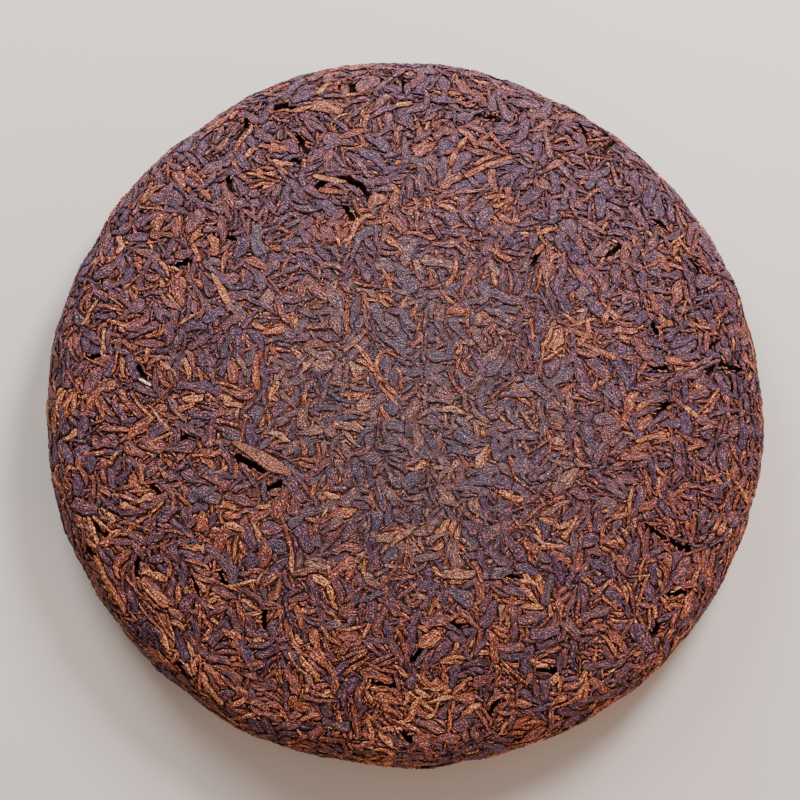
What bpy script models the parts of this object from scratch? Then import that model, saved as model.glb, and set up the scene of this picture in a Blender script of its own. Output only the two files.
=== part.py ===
"""Pressed pu erh tea cake: one closed solid that lies on its flat underside.

Metres, +Z up. The origin is the middle of the resting plane. The face is a low dome that turns
over a rounded rim into a flat resting ring, and the ring surrounds the hollow that the knot of
the pressing bag leaves in the middle of the underside.
"""

import math
import random

import bmesh
import bpy
from mathutils import Vector

MM = 0.001

# Driving dimensions of the cake.
CAKE_RADIUS = 100 * MM
CENTRE_HEIGHT = 25.5 * MM
RIM_MID_HEIGHT = 8.5 * MM
RIM_ROUNDING = 8.5 * MM
REST_OUTER_RADIUS = 86 * MM
REST_INNER_RADIUS = 35 * MM
HOLLOW_DEPTH = 11 * MM

# Where the dome's slope meets the rim's rounding, measured from the rounding's own vertical.
RIM_START_ANGLE = math.radians(12)

# Rings of vertices along each stretch of the profile, and steps around the axis.
DOME_RINGS = 20
RIM_TOP_RINGS = 7
RIM_UNDER_RINGS = 7
REST_RINGS = 5
HOLLOW_RINGS = 9
TURN_STEPS = 98

# The outline is slightly out of round: (waves around the rim, amplitude, phase).
OUTLINE_WAVES = (
    (2, 0.60 * MM, math.radians(7)),
    (3, 0.40 * MM, math.radians(62)),
    (4, 0.17 * MM, math.radians(-24)),
    (5, 0.22 * MM, math.radians(-150)),
    (9, 0.10 * MM, math.radians(40)),
    (14, 0.10 * MM, math.radians(110)),
)

# Lumps where leaf is packed thicker or thinner, as plane waves that cross at random.
RELIEF_SEED = 357
BROAD_LUMPS = 7
BROAD_LENGTHS = (38 * MM, 70 * MM)
BROAD_AMPLITUDE = 0.09 * MM
CLOSE_LUMPS = 16
CLOSE_LENGTHS = (13 * MM, 24 * MM)
CLOSE_AMPLITUDE = 0.05 * MM

# The press smooths the middle of the face most, and the resting ring stays flat.
PRESSED_SHARE = 0.45
PRESSED_RADIUS = 30 * MM
LOOSE_RADIUS = 88 * MM
FLAT_UNTIL_HEIGHT = 0.02 * MM
RELIEF_FROM_HEIGHT = 5 * MM

# Folds of the bag's gathered cloth, pressed into the hollow.
FOLD_COUNT = 13
FOLD_DEPTH = 0.7 * MM
FOLD_TWIST = 0.9

WELD_DISTANCE = 0.002 * MM

LEAF_COLOUR = (0.142, 0.068, 0.058, 1.0)
LEAF_ROUGHNESS = 0.72


def smooth_step(low, high, value):
    """Rise smoothly from 0 at low to 1 at high."""
    share = min(max((value - low) / (high - low), 0.0), 1.0)
    return share * share * (3 - 2 * share)


def dome_profile():
    """Points from the middle of the face out to where the rim's rounding starts."""
    edge_radius = CAKE_RADIUS - RIM_ROUNDING * (1 - math.sin(RIM_START_ANGLE))
    edge_height = RIM_MID_HEIGHT + RIM_ROUNDING * math.cos(RIM_START_ANGLE)
    drop = CENTRE_HEIGHT - edge_height
    # This power gives the dome the rounding's slope where they meet.
    power = math.tan(RIM_START_ANGLE) * edge_radius / drop
    points = []
    for ring in range(DOME_RINGS):
        share = ring / DOME_RINGS
        points.append((edge_radius * share, CENTRE_HEIGHT - drop * share**power))
    return points


def rim_profile():
    """Points over the rim's rounding and under it, down to the resting ring."""
    points = []
    for ring in range(RIM_TOP_RINGS):
        share = ring / RIM_TOP_RINGS
        angle = RIM_START_ANGLE + (math.pi / 2 - RIM_START_ANGLE) * share
        radius = CAKE_RADIUS - RIM_ROUNDING * (1 - math.sin(angle))
        points.append((radius, RIM_MID_HEIGHT + RIM_ROUNDING * math.cos(angle)))
    for ring in range(RIM_UNDER_RINGS):
        angle = math.pi / 2 * ring / RIM_UNDER_RINGS
        radius = REST_OUTER_RADIUS + (CAKE_RADIUS - REST_OUTER_RADIUS) * math.cos(angle)
        points.append((radius, RIM_MID_HEIGHT * (1 - math.sin(angle))))
    return points


def underside_profile():
    """Points along the flat resting ring and up into the hollow, to its middle."""
    points = []
    for ring in range(REST_RINGS):
        share = ring / REST_RINGS
        radius = REST_OUTER_RADIUS + (REST_INNER_RADIUS - REST_OUTER_RADIUS) * share
        points.append((radius, 0.0))
    for ring in range(HOLLOW_RINGS + 1):
        share = 1 - ring / HOLLOW_RINGS
        points.append((REST_INNER_RADIUS * share, hollow_height(share)))
    return points


def hollow_height(share):
    """Height of the hollow's wall at this share of its mouth radius."""
    return HOLLOW_DEPTH * (0.5 + 0.5 * math.cos(math.pi * share))


def turned_cake():
    """Spin the whole profile around the vertical axis into one closed mesh."""
    mesh = bmesh.new()
    profile = dome_profile() + rim_profile() + underside_profile()
    rings = [mesh.verts.new((radius, 0.0, height)) for radius, height in profile]
    edges = [mesh.edges.new(pair) for pair in zip(rings, rings[1:])]
    bmesh.ops.spin(
        mesh,
        geom=rings + edges,
        cent=(0.0, 0.0, 0.0),
        axis=(0.0, 0.0, 1.0),
        angle=math.tau,
        steps=TURN_STEPS,
        use_merge=True,
    )
    bmesh.ops.remove_doubles(mesh, verts=mesh.verts, dist=WELD_DISTANCE)
    bmesh.ops.recalc_face_normals(mesh, faces=mesh.faces)
    return mesh


def lump_waves():
    """Random plane waves, each as (wave vector, phase, amplitude)."""
    rng = random.Random(RELIEF_SEED)
    waves = []
    for count, lengths, amplitude in (
        (BROAD_LUMPS, BROAD_LENGTHS, BROAD_AMPLITUDE),
        (CLOSE_LUMPS, CLOSE_LENGTHS, CLOSE_AMPLITUDE),
    ):
        for _ in range(count):
            turn = rng.uniform(0.0, math.tau)
            tilt = rng.uniform(-0.6, 0.6)
            direction = Vector((math.cos(turn), math.sin(turn), tilt))
            wave_number = math.tau / rng.uniform(*lengths)
            waves.append((direction * wave_number, rng.uniform(0.0, math.tau), amplitude))
    return waves


def press_weight(point):
    """Share of the full relief at this point: none where the cake rests."""
    radius = math.hypot(point.x, point.y)
    loose = smooth_step(PRESSED_RADIUS, LOOSE_RADIUS, radius)
    off_the_table = smooth_step(FLAT_UNTIL_HEIGHT, RELIEF_FROM_HEIGHT, point.z)
    return off_the_table * (PRESSED_SHARE + (1 - PRESSED_SHARE) * loose)


def fold_depth(point):
    """Depth of the cloth's folds: they swirl out from the middle of the hollow."""
    share = math.hypot(point.x, point.y) / REST_INNER_RADIUS
    turn = math.atan2(point.y, point.x)
    reach = smooth_step(0.08, 0.4, share) * (1 - smooth_step(0.5, 0.95, share))
    return FOLD_DEPTH * reach * math.cos(FOLD_COUNT * turn + FOLD_TWIST * math.tau * share)


def press_unevenly(mesh):
    """Push every vertex along its normal by the lumps, and the hollow's by its folds too."""
    waves = lump_waves()
    mesh.normal_update()
    moves = []
    for vertex in mesh.verts:
        lift = sum(size * math.cos(wave.dot(vertex.co) + phase) for wave, phase, size in waves)
        lift *= press_weight(vertex.co)
        faces_down = vertex.normal.z < 0
        if faces_down and math.hypot(vertex.co.x, vertex.co.y) < REST_INNER_RADIUS:
            lift += fold_depth(vertex.co)
        moves.append(vertex.normal * lift)
    for vertex, move in zip(mesh.verts, moves):
        vertex.co += move


def pull_out_of_round(mesh):
    """Stretch the cake outward or inward with the outline's waves."""
    for vertex in mesh.verts:
        turn = math.atan2(vertex.co.y, vertex.co.x)
        swell = sum(size * math.cos(count * turn + phase) for count, size, phase in OUTLINE_WAVES)
        stretch = 1 + swell / CAKE_RADIUS
        vertex.co.x *= stretch
        vertex.co.y *= stretch


def leaf_material():
    """Dark, faintly sheened fermented leaf."""
    material = bpy.data.materials.new("pressed_leaf")
    material.use_nodes = True
    shader = material.node_tree.nodes["Principled BSDF"]
    shader.inputs["Base Color"].default_value = LEAF_COLOUR
    shader.inputs["Roughness"].default_value = LEAF_ROUGHNESS
    shader.inputs["Metallic"].default_value = 0.0
    return material


def tea_cake():
    """The whole cake as one object."""
    solid = turned_cake()
    press_unevenly(solid)
    pull_out_of_round(solid)
    bmesh.ops.triangulate(solid, faces=solid.faces)
    data = bpy.data.meshes.new("tea_cake")
    solid.to_mesh(data)
    solid.free()
    data.shade_smooth()
    data.materials.append(leaf_material())
    cake = bpy.data.objects.new("tea_cake", data)
    bpy.context.scene.collection.objects.link(cake)
    return cake


def main():
    """Clear the scene and model the cake."""
    for old in list(bpy.data.objects):
        bpy.data.objects.remove(old, do_unlink=True)
    tea_cake()


if __name__ == "__main__":
    main()
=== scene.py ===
"""Looks of a pressed pu erh tea cake: strips of fermented leaf matted over a dark core.

The cake's outer skin is laid leaf by leaf, from the outermost strip down. A strip that finds the
surface free lies flush with the pressed form, and one that finds it taken dips under what lies
there, as leaf does under a press. A relief core closes the gaps, and crumbs fill them.
"""

import logging
import math
import random
from dataclasses import dataclass, field, replace
from enum import Enum

import bmesh
import bpy
import numpy as np
from mathutils import Matrix, Vector


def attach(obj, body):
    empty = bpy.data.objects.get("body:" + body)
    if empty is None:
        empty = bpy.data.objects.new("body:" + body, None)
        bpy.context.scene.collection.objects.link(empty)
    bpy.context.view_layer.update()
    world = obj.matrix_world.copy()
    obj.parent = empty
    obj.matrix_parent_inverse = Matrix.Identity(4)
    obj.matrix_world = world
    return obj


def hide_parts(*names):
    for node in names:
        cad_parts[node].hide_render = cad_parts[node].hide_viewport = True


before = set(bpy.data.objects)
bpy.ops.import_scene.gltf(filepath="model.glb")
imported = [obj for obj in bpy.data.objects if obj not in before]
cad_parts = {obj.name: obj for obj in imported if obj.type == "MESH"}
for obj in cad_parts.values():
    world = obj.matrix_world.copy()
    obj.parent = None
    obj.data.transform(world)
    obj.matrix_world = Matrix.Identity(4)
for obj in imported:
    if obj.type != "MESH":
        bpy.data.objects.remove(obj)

LOG = logging.getLogger("tea_cake")
MM = 0.001
NODE = "tea_cake"
BODY = "root"

# Every leaf is dressed from one cell of a square map of ATLAS by ATLAS leaf patterns. The rows
# hold the tones, darkest first, and the columns hold different patterns of each tone.
BAKE_MAP = "OFBake"
ATLAS = 8
CELL_MARGIN = 0.03

# Share of the profile's arc length from which a place counts as underside.
UNDERSIDE_FROM = 0.52
# Name of the core's attribute that holds how far it lies under the skin, in millimetres.
SUNK = "sunk"


def smooth_step(low: float, high: float, value: np.ndarray) -> np.ndarray:
    """Rise smoothly from 0 at low to 1 at high.

    Args:
        low: value where the step starts.
        high: value where it ends.
        value: where to read it.

    Returns:
        The step at each value.
    """
    share = np.clip((value - low) / (high - low), 0.0, 1.0)
    return share * share * (3 - 2 * share)


def grown(limits: tuple, loose: float) -> float:
    """Read a value given where pressed hard, and what full looseness adds to it."""
    return limits[0] + limits[1] * loose


def linear(code: str, alpha: float = 1.0) -> tuple:
    """Turn an sRGB hex colour into linear light.

    Args:
        code: the colour, such as "#5f4546".
        alpha: its opacity.

    Returns:
        Red, green, blue and alpha.
    """
    channels = [int(code[i : i + 2], 16) / 255 for i in (1, 3, 5)]
    light = [c / 12.92 if c <= 0.04045 else ((c + 0.055) / 1.055) ** 2.4 for c in channels]
    return (*light, alpha)


@dataclass
class CakeForm:
    """The pressed form: a turned profile, slightly lumpy and out of round.

    A place on it is an arc length from the top's middle, over the rim to the underside's middle,
    a turn around the axis, and a lift along the outward normal. The sizes are the solid's own.

    Attributes:
        radius: half the cake's width.
        centre_height: height of the face's middle.
        rim_mid_height: height where the rim is widest.
        rim_rounding: radius of the rim's upper rounding.
        rim_start: where the dome's slope meets that rounding, from the rounding's own vertical.
        rest_outer: outer radius of the flat resting ring.
        rest_inner: its inner radius, where the hollow starts.
        hollow_depth: depth of the hollow.
        outline: waves around the rim, each as count, size and phase.
        relief_seed: seed of the lumps.
        broad_lumps: how many broad lumps, limits of their lengths, and their size.
        close_lumps: the same for the close lumps.
        lump_tilt: how far a lump's direction may tilt.
        pressed_share: share of the lumps that the press leaves in the middle.
        lump_radii: radii between which the lumps grow to their full size.
        lump_heights: heights between which they do.
        fold_count: folds of the bag's cloth around the hollow.
        fold_depth: their depth.
        fold_twist: how far they swirl, in turns.
        fold_rise: shares of the hollow's radius between which the folds rise.
        fold_fall: shares between which they fade.
        loosest: looseness of the leaf at the rim.
        loose_radii: radii between which leaf gets looser.
        loose_height: height over which it does, from the table up.
        samples: points of the dome's profile.
        arc: arc length at each point of the profile.
        profile: radius and height of each.
        normals: outward normal of each.
        waves: wave vectors, phases and sizes of the lumps.
    """

    radius: float
    centre_height: float
    rim_mid_height: float = 8.5 * MM
    rim_rounding: float = 8.5 * MM
    rim_start: float = math.radians(12)
    rest_outer: float = 86 * MM
    rest_inner: float = 35 * MM
    hollow_depth: float = 11 * MM
    outline: tuple = (
        (2, 0.60 * MM, math.radians(7)),
        (3, 0.40 * MM, math.radians(62)),
        (4, 0.17 * MM, math.radians(-24)),
        (5, 0.22 * MM, math.radians(-150)),
        (9, 0.10 * MM, math.radians(40)),
        (14, 0.10 * MM, math.radians(110)),
    )
    relief_seed: int = 357
    broad_lumps: tuple = (7, (38 * MM, 70 * MM), 0.09 * MM)
    close_lumps: tuple = (16, (13 * MM, 24 * MM), 0.05 * MM)
    lump_tilt: float = 0.6
    pressed_share: float = 0.45
    lump_radii: tuple = (30 * MM, 88 * MM)
    lump_heights: tuple = (0.02 * MM, 5 * MM)
    fold_count: int = 13
    fold_depth: float = 0.7 * MM
    fold_twist: float = 0.9
    fold_rise: tuple = (0.08, 0.4)
    fold_fall: tuple = (0.5, 0.95)
    loosest: float = 0.55
    loose_radii: tuple = (30 * MM, 100 * MM)
    loose_height: float = 5 * MM
    samples: int = 400
    arc: np.ndarray = field(init=False)
    profile: np.ndarray = field(init=False)
    normals: np.ndarray = field(init=False)
    waves: tuple = field(init=False)

    def __post_init__(self) -> None:
        """Work out the profile and the lumps."""
        self.profile = np.concatenate([self.dome(), self.rim(), self.underside()])
        steps = np.hypot(*np.diff(self.profile, axis=0).T)
        self.arc = np.concatenate([[0.0], np.cumsum(steps)])
        slope = np.gradient(self.profile, self.arc, axis=0)
        across = np.stack([-slope[:, 1], slope[:, 0]], axis=1)
        self.normals = across / np.linalg.norm(across, axis=1, keepdims=True)
        self.waves = self.lump_waves()

    def dome(self) -> np.ndarray:
        """Follow the profile from the top's middle to where the rim's rounding starts.

        Returns:
            Radius and height of each point.
        """
        edge = self.radius - self.rim_rounding * (1 - math.sin(self.rim_start))
        edge_height = self.rim_mid_height + self.rim_rounding * math.cos(self.rim_start)
        drop = self.centre_height - edge_height
        # This power gives the dome the rounding's slope where they meet.
        power = math.tan(self.rim_start) * edge / drop
        share = np.arange(self.samples) / self.samples
        return np.stack([edge * share, self.centre_height - drop * share**power], axis=1)

    def rim(self) -> np.ndarray:
        """Follow the profile over the rim's rounding and under it.

        Returns:
            Radius and height of each point.
        """
        over = np.linspace(self.rim_start, math.pi / 2, self.samples // 2, endpoint=False)
        under = np.linspace(0.0, math.pi / 2, self.samples // 2, endpoint=False)
        over_radius = self.radius - self.rim_rounding * (1 - np.sin(over))
        over_height = self.rim_mid_height + self.rim_rounding * np.cos(over)
        under_radius = self.rest_outer + (self.radius - self.rest_outer) * np.cos(under)
        under_height = self.rim_mid_height * (1 - np.sin(under))
        radii = np.concatenate([over_radius, under_radius])
        return np.stack([radii, np.concatenate([over_height, under_height])], axis=1)

    def underside(self) -> np.ndarray:
        """Follow the profile along the resting ring and up into the hollow.

        Returns:
            Radius and height of each point.
        """
        half = self.samples // 2
        ring = np.linspace(self.rest_outer, self.rest_inner, half, endpoint=False)
        inner = np.linspace(1.0, 0.0, half)
        wall = self.hollow_depth * (0.5 + 0.5 * np.cos(math.pi * inner))
        radii = np.concatenate([ring, self.rest_inner * inner])
        return np.stack([radii, np.concatenate([np.zeros_like(ring), wall])], axis=1)

    def lump_waves(self) -> tuple:
        """Draw the plane waves that lift the form where leaf is packed thicker.

        Returns:
            The wave vectors, phases and sizes, as three arrays.
        """
        rng = random.Random(self.relief_seed)
        vectors, phases, sizes = [], [], []
        for count, lengths, size in (self.broad_lumps, self.close_lumps):
            for _ in range(count):
                turn = rng.uniform(0.0, math.tau)
                tilt = rng.uniform(-self.lump_tilt, self.lump_tilt)
                number = math.tau / rng.uniform(*lengths)
                direction = np.array([math.cos(turn), math.sin(turn), tilt])
                vectors.append(number * direction)
                phases.append(rng.uniform(0.0, math.tau))
                sizes.append(size)
        return np.array(vectors), np.array(phases), np.array(sizes)

    @property
    def length(self) -> float:
        """Arc length of the whole profile, from pole to pole."""
        return float(self.arc[-1])

    def arc_at(self, radius: float, under: bool = False) -> float:
        """Find where the profile passes a radius.

        Args:
            radius: distance from the axis.
            under: True for the underside, False for the top.

        Returns:
            The arc length there.
        """
        widest = int(np.argmax(self.profile[:, 0]))
        if under:
            radii, arcs = self.profile[widest:, 0], self.arc[widest:]
            return float(np.interp(-radius, -radii, arcs))
        return float(np.interp(radius, self.profile[: widest + 1, 0], self.arc[: widest + 1]))

    def ring_radius(self, arc: np.ndarray) -> np.ndarray:
        """Distance from the axis at these arc lengths."""
        return np.interp(arc, self.arc, self.profile[:, 0])

    def looseness(self, arc: np.ndarray) -> np.ndarray:
        """Find how loosely leaf lies: most at the rim, and not at all where it is pressed hard.

        Args:
            arc: arc lengths.

        Returns:
            The looseness there, from 0.
        """
        outward = smooth_step(*self.loose_radii, self.ring_radius(arc))
        height = np.interp(arc, self.arc, self.profile[:, 1])
        return self.loosest * outward * smooth_step(0.0, self.loose_height, height)

    def lumps(self, points: np.ndarray) -> np.ndarray:
        """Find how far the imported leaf's lumps lift the skin.

        Args:
            points: points of the skin.

        Returns:
            The lift at each.
        """
        vectors, phases, sizes = self.waves
        lift = np.cos(points @ vectors.T + phases) @ sizes
        radius = np.hypot(points[..., 0], points[..., 1])
        loose = smooth_step(*self.lump_radii, radius)
        weight = self.pressed_share + (1 - self.pressed_share) * loose
        return lift * weight * smooth_step(*self.lump_heights, points[..., 2])

    def folds(self, arc: np.ndarray, turn: np.ndarray) -> np.ndarray:
        """Find the lift of the cloth's folds, which swirl out from the middle of the hollow.

        Args:
            arc: arc lengths.
            turn: turns around the axis.

        Returns:
            The lift at each place.
        """
        share = self.ring_radius(arc) / self.rest_inner
        reach = smooth_step(*self.fold_rise, share) * (1 - smooth_step(*self.fold_fall, share))
        wave = np.cos(self.fold_count * turn + self.fold_twist * math.tau * share)
        return np.where(arc > self.length / 2, self.fold_depth * reach * wave, 0.0)

    def place(self, arc: np.ndarray, turn: np.ndarray, lift: np.ndarray) -> np.ndarray:
        """Turn places on the form into points.

        Args:
            arc: arc length from the top's middle.
            turn: angle around the axis.
            lift: distance out from the form's skin.

        Returns:
            The points, with one more axis than the arguments.
        """
        arc = np.clip(arc, 0.0, self.length)
        radius = np.interp(arc, self.arc, self.profile[:, 0])
        height = np.interp(arc, self.arc, self.profile[:, 1])
        out = np.interp(arc, self.arc, self.normals[:, 0])
        up = np.interp(arc, self.arc, self.normals[:, 1])
        skin = np.stack([radius * np.cos(turn), radius * np.sin(turn), height], axis=-1)
        lift = lift + self.lumps(skin) + self.folds(arc, turn)
        swell = sum(size * np.cos(count * turn + phase) for count, size, phase in self.outline)
        radius = (radius + out * lift) * (1 + swell / self.radius)
        height = np.maximum(height + up * lift, 0.0)
        return np.stack([radius * np.cos(turn), radius * np.sin(turn), height], axis=-1)


@dataclass
class PressBed:
    """How far out the next leaf may lie at each small cell of the form's skin.

    Attributes:
        form: the pressed form.
        cell: edge of a cell.
        planar_radius: radius inside which offsets unroll flat around the pole.
        ripple_pressed: size of the skin's own ripple where it is pressed hard.
        ripple_loose: its size where leaf is loose.
        ripple_lengths: limits of the ripple's wavelengths.
        ripple_limits: how far the ripple may go down and up, in its usual sizes.
        ripple_rise: how far loose leaf stands above the pressed skin, in the same sizes.
        ripple_count: how many waves cross.
        seed: seed of the ripple.
        counts: cells in each ring.
        starts: number of each ring's first cell.
        arcs: arc length of every cell.
        turns: turn of every cell.
        ceiling: lift that the next leaf there may reach.
        covered: whether a leaf covers the cell, or a crack keeps it free.
        cracked: whether an open crack keeps the cell free.
        planar_top: arc length where the flat part of the top ends.
        planar_under: arc length where the flat part of the underside starts.
    """

    form: CakeForm
    cell: float = 0.42 * MM
    planar_radius: float = 82 * MM
    ripple_pressed: float = 0.03 * MM
    ripple_loose: float = 0.20 * MM
    ripple_lengths: tuple = (4 * MM, 14 * MM)
    ripple_limits: tuple = (-2.0, 1.0)
    ripple_rise: float = 0.6
    ripple_count: int = 14
    seed: int = 11
    counts: np.ndarray = field(init=False)
    starts: np.ndarray = field(init=False)
    arcs: np.ndarray = field(init=False)
    turns: np.ndarray = field(init=False)
    ceiling: np.ndarray = field(init=False)
    covered: np.ndarray = field(init=False)
    cracked: np.ndarray = field(init=False)
    planar_top: float = field(init=False)
    planar_under: float = field(init=False)

    def __post_init__(self) -> None:
        """Divide the skin into rings of cells and set the first ceiling."""
        rings = int(self.form.length / self.cell)
        ring_arcs = (np.arange(rings) + 0.5) * self.cell
        around = math.tau * self.form.ring_radius(ring_arcs) / self.cell
        self.counts = np.maximum(6, np.round(around)).astype(np.int32)
        self.starts = np.concatenate([[0], np.cumsum(self.counts)])[:-1].astype(np.int32)
        self.arcs = np.repeat(ring_arcs, self.counts)
        within = np.arange(len(self.arcs)) - np.repeat(self.starts, self.counts)
        self.turns = (within + 0.5) / np.repeat(self.counts, self.counts) * math.tau
        self.ceiling = self.first_ceiling()
        self.covered = np.zeros(len(self.arcs), bool)
        self.cracked = np.zeros(len(self.arcs), bool)
        self.planar_top = self.form.arc_at(self.planar_radius)
        self.planar_under = self.form.arc_at(self.planar_radius, under=True)

    def first_ceiling(self) -> np.ndarray:
        """Draw the pressed skin's own ripple: slight where pressed, deeper where loose.

        Returns:
            The ceiling over every cell before any leaf is laid.
        """
        rng = np.random.default_rng(self.seed)
        points = self.form.place(self.arcs, self.turns, np.zeros_like(self.arcs))
        ripple = np.zeros(len(points))
        for _ in range(self.ripple_count):
            direction = rng.normal(size=3)
            number = math.tau / rng.uniform(*self.ripple_lengths)
            vector = direction / np.linalg.norm(direction) * number
            ripple += np.cos(points @ vector + rng.uniform(0.0, math.tau))
        ripple /= math.sqrt(self.ripple_count / 2)
        loose = self.form.looseness(self.arcs)
        size = self.ripple_pressed + (self.ripple_loose - self.ripple_pressed) * loose
        lowest, highest = self.ripple_limits
        return (np.clip(ripple, lowest, highest) - highest + self.ripple_rise * loose) * 0.5 * size

    def cells(self, arc: np.ndarray, turn: np.ndarray) -> np.ndarray:
        """Find the cells that hold these places.

        Args:
            arc: arc lengths.
            turn: turns around the axis.

        Returns:
            The cells' numbers.
        """
        ring = np.clip((arc / self.cell).astype(np.int32), 0, len(self.counts) - 1)
        counts = self.counts[ring]
        around = (np.mod(turn, math.tau) / math.tau * counts).astype(np.int32) % counts
        return self.starts[ring] + around

    def spread(
        self, arc: np.ndarray, turn: np.ndarray, outward: np.ndarray, around: np.ndarray
    ) -> tuple:
        """Turn flat offsets from a place into places of their own.

        The offsets unroll flat around the nearer pole inside the planar radius, and around the
        axis on the rim.

        Args:
            arc: arc length of the start.
            turn: turn of the start.
            outward: offsets along the profile, towards greater arc length.
            around: offsets around the axis.

        Returns:
            The arc lengths and the turns, which run on past a full turn.
        """
        on_face = arc < self.planar_top
        flat = on_face | (arc > self.planar_under)
        ahead = np.where(on_face, arc + outward, self.form.length - arc - outward)
        distance = np.hypot(ahead, around)
        flat_arcs = np.where(on_face, distance, self.form.length - distance)
        rim_arcs = arc + outward
        # Near a pole this branch isn't used, and the limit only keeps its division safe.
        rim_radius = np.maximum(self.form.ring_radius(rim_arcs), 0.5 * self.planar_radius)
        flat_turns = turn + np.arctan2(around, ahead)
        rim_turns = turn + around / rim_radius
        return np.where(flat, flat_arcs, rim_arcs), np.where(flat, flat_turns, rim_turns)


@dataclass
class StripTemplate:
    """One closed strip of leaf: a ball whose rings of corners each leaf stretches its own way.

    The last corner of each ring lies underneath, and the others arch over the top.

    Attributes:
        stations: steps along the strip.
        corners: corners of each ring.
        crowding: above 1, the stations crowd towards the tips.
        pick: which corner of which ring each vertex is.
        triangles: the faces.
        flat_map: share along and around of each face's corners.
    """

    stations: int
    corners: int
    crowding: float = 1.2
    pick: np.ndarray = field(init=False)
    triangles: np.ndarray = field(init=False)
    flat_map: np.ndarray = field(init=False)

    def __post_init__(self) -> None:
        """Read the ball's rings, faces and flat map."""
        mesh = bmesh.new()
        bmesh.ops.create_uvsphere(
            mesh, u_segments=self.corners, v_segments=self.stations, radius=1.0
        )
        bmesh.ops.triangulate(mesh, faces=mesh.faces)
        mesh.verts.ensure_lookup_table()
        rings = [self.station_corner(vertex.co) for vertex in mesh.verts]
        self.pick = np.array([station * self.corners + corner for station, corner in rings])
        self.triangles = np.array([[v.index for v in face.verts] for face in mesh.faces])
        self.flat_map = np.array([self.map_face(face, rings) for face in mesh.faces])
        mesh.free()

    def station_corner(self, point: Vector) -> tuple:
        """Tell which ring and corner a vertex of the ball is.

        Args:
            point: the vertex, on a ball of radius 1.

        Returns:
            Number of the ring along the strip, and of the corner around it.
        """
        station = round(math.acos(max(-1.0, min(1.0, point.z))) / math.pi * self.stations)
        if station in (0, self.stations):
            return station, (self.corners - 2) // 2
        corner = round(math.atan2(point.y, point.x) / math.tau * self.corners)
        return station, corner % self.corners

    def map_face(self, face: bmesh.types.BMFace, rings: list) -> list:
        """Place a face's corners on the strip's flat map, unrolled from edge to edge.

        Args:
            face: a triangle of the ball.
            rings: station and corner of every vertex.

        Returns:
            Share along and share around, for each corner of the face.
        """
        found = [rings[vertex.index] for vertex in face.verts]
        inner = [corner for station, corner in found if 0 < station < self.stations]
        wraps = max(inner) - min(inner) > 1
        turned = [corner + self.corners * (wraps and corner == 0) for corner in inner]
        middle = sum(turned) / len(turned)
        places = []
        for station, corner in found:
            if not 0 < station < self.stations:
                corner = middle
            elif wraps and corner == 0:
                corner = self.corners
            places.append((station / self.stations, corner / self.corners))
        return places

    @property
    def along(self) -> np.ndarray:
        """Place along the strip of each station, from 1 at the first tip to -1 at the last."""
        evenly = np.linspace(1.0, -1.0, self.stations + 1)
        return np.sign(evenly) * (1 - (1 - np.abs(evenly)) ** self.crowding)

    @property
    def across(self) -> np.ndarray:
        """Place across the strip of each upper corner, from 1 at one edge to -1 at the other."""
        return np.cos(math.pi * np.arange(self.corners - 1) / (self.corners - 2))


class Zone(Enum):
    """Parts of the skin that differ in finish: pressed hard in the middle, looser elsewhere."""

    MIDDLE = "middle"
    FACE = "face"
    UNDERSIDE = "underside"


class Dye(Enum):
    """Ranges of colour, darkest first.

    Fermented leaf runs from violet-black to golden, and the violet cast of its dark tones is
    painted reflection of cool light. The press's imprint greys it, and its tones are a little
    lighter, partly as painted sheen on the flat face. An old sliver is duller, and bare wood is
    pale.
    """

    LEAF = (
        "#452b48",
        "#53354c",
        "#613a48",
        "#734243",
        "#854534",
        "#9b4b2e",
        "#a95c34",
        "#b47b52",
    )
    PRESSED = (
        "#43304d",
        "#523d57",
        "#5f4654",
        "#734c4c",
        "#855047",
        "#945b48",
        "#a26a4e",
        "#b08669",
    )
    DULL = ("#5e3d38", "#7c5246", "#93583c", "#9a5229")
    PALE = ("#a79a90", "#d8d0c6", "#f2eee8")


@dataclass(frozen=True)
class LeafSort:
    """One sort of leaf in the mat: its sizes, how it bends, and the share of each tone.

    Attributes:
        name: the sort's name, which its pieces and finish take.
        lengths: limits of its length.
        widths: limits of its width.
        thickness: its thickness before it is pressed.
        stations: steps along it.
        corners: corners around it.
        bend: spread of its bend, in radians over its length.
        hook: spread of its ends' bend.
        ragged: how unevenly its edges are torn, as a share of the width.
        crease: depth of the furrows that twisting leaves in it.
        blunt: limits of the taper's power: a great one gives blunt ends.
        tones: share of each tone, darkest first.
        rounding_pressed: drop from its ridge to its edges where pressed hard.
        rounding_loose: the same where loose.
        takes_imprint: whether the press's imprint shows on it.
        dye: its range of colours.
        mottle: how unevenly it is coloured, 1 as leaf is.
    """

    name: str
    lengths: tuple
    widths: tuple
    thickness: float
    stations: int
    corners: int
    bend: float
    hook: float
    ragged: float
    crease: float
    blunt: tuple
    tones: tuple
    rounding_pressed: float = 0.03 * MM
    rounding_loose: float = 0.14 * MM
    takes_imprint: bool = True
    dye: Dye = Dye.LEAF
    mottle: float = 1.0


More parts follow.
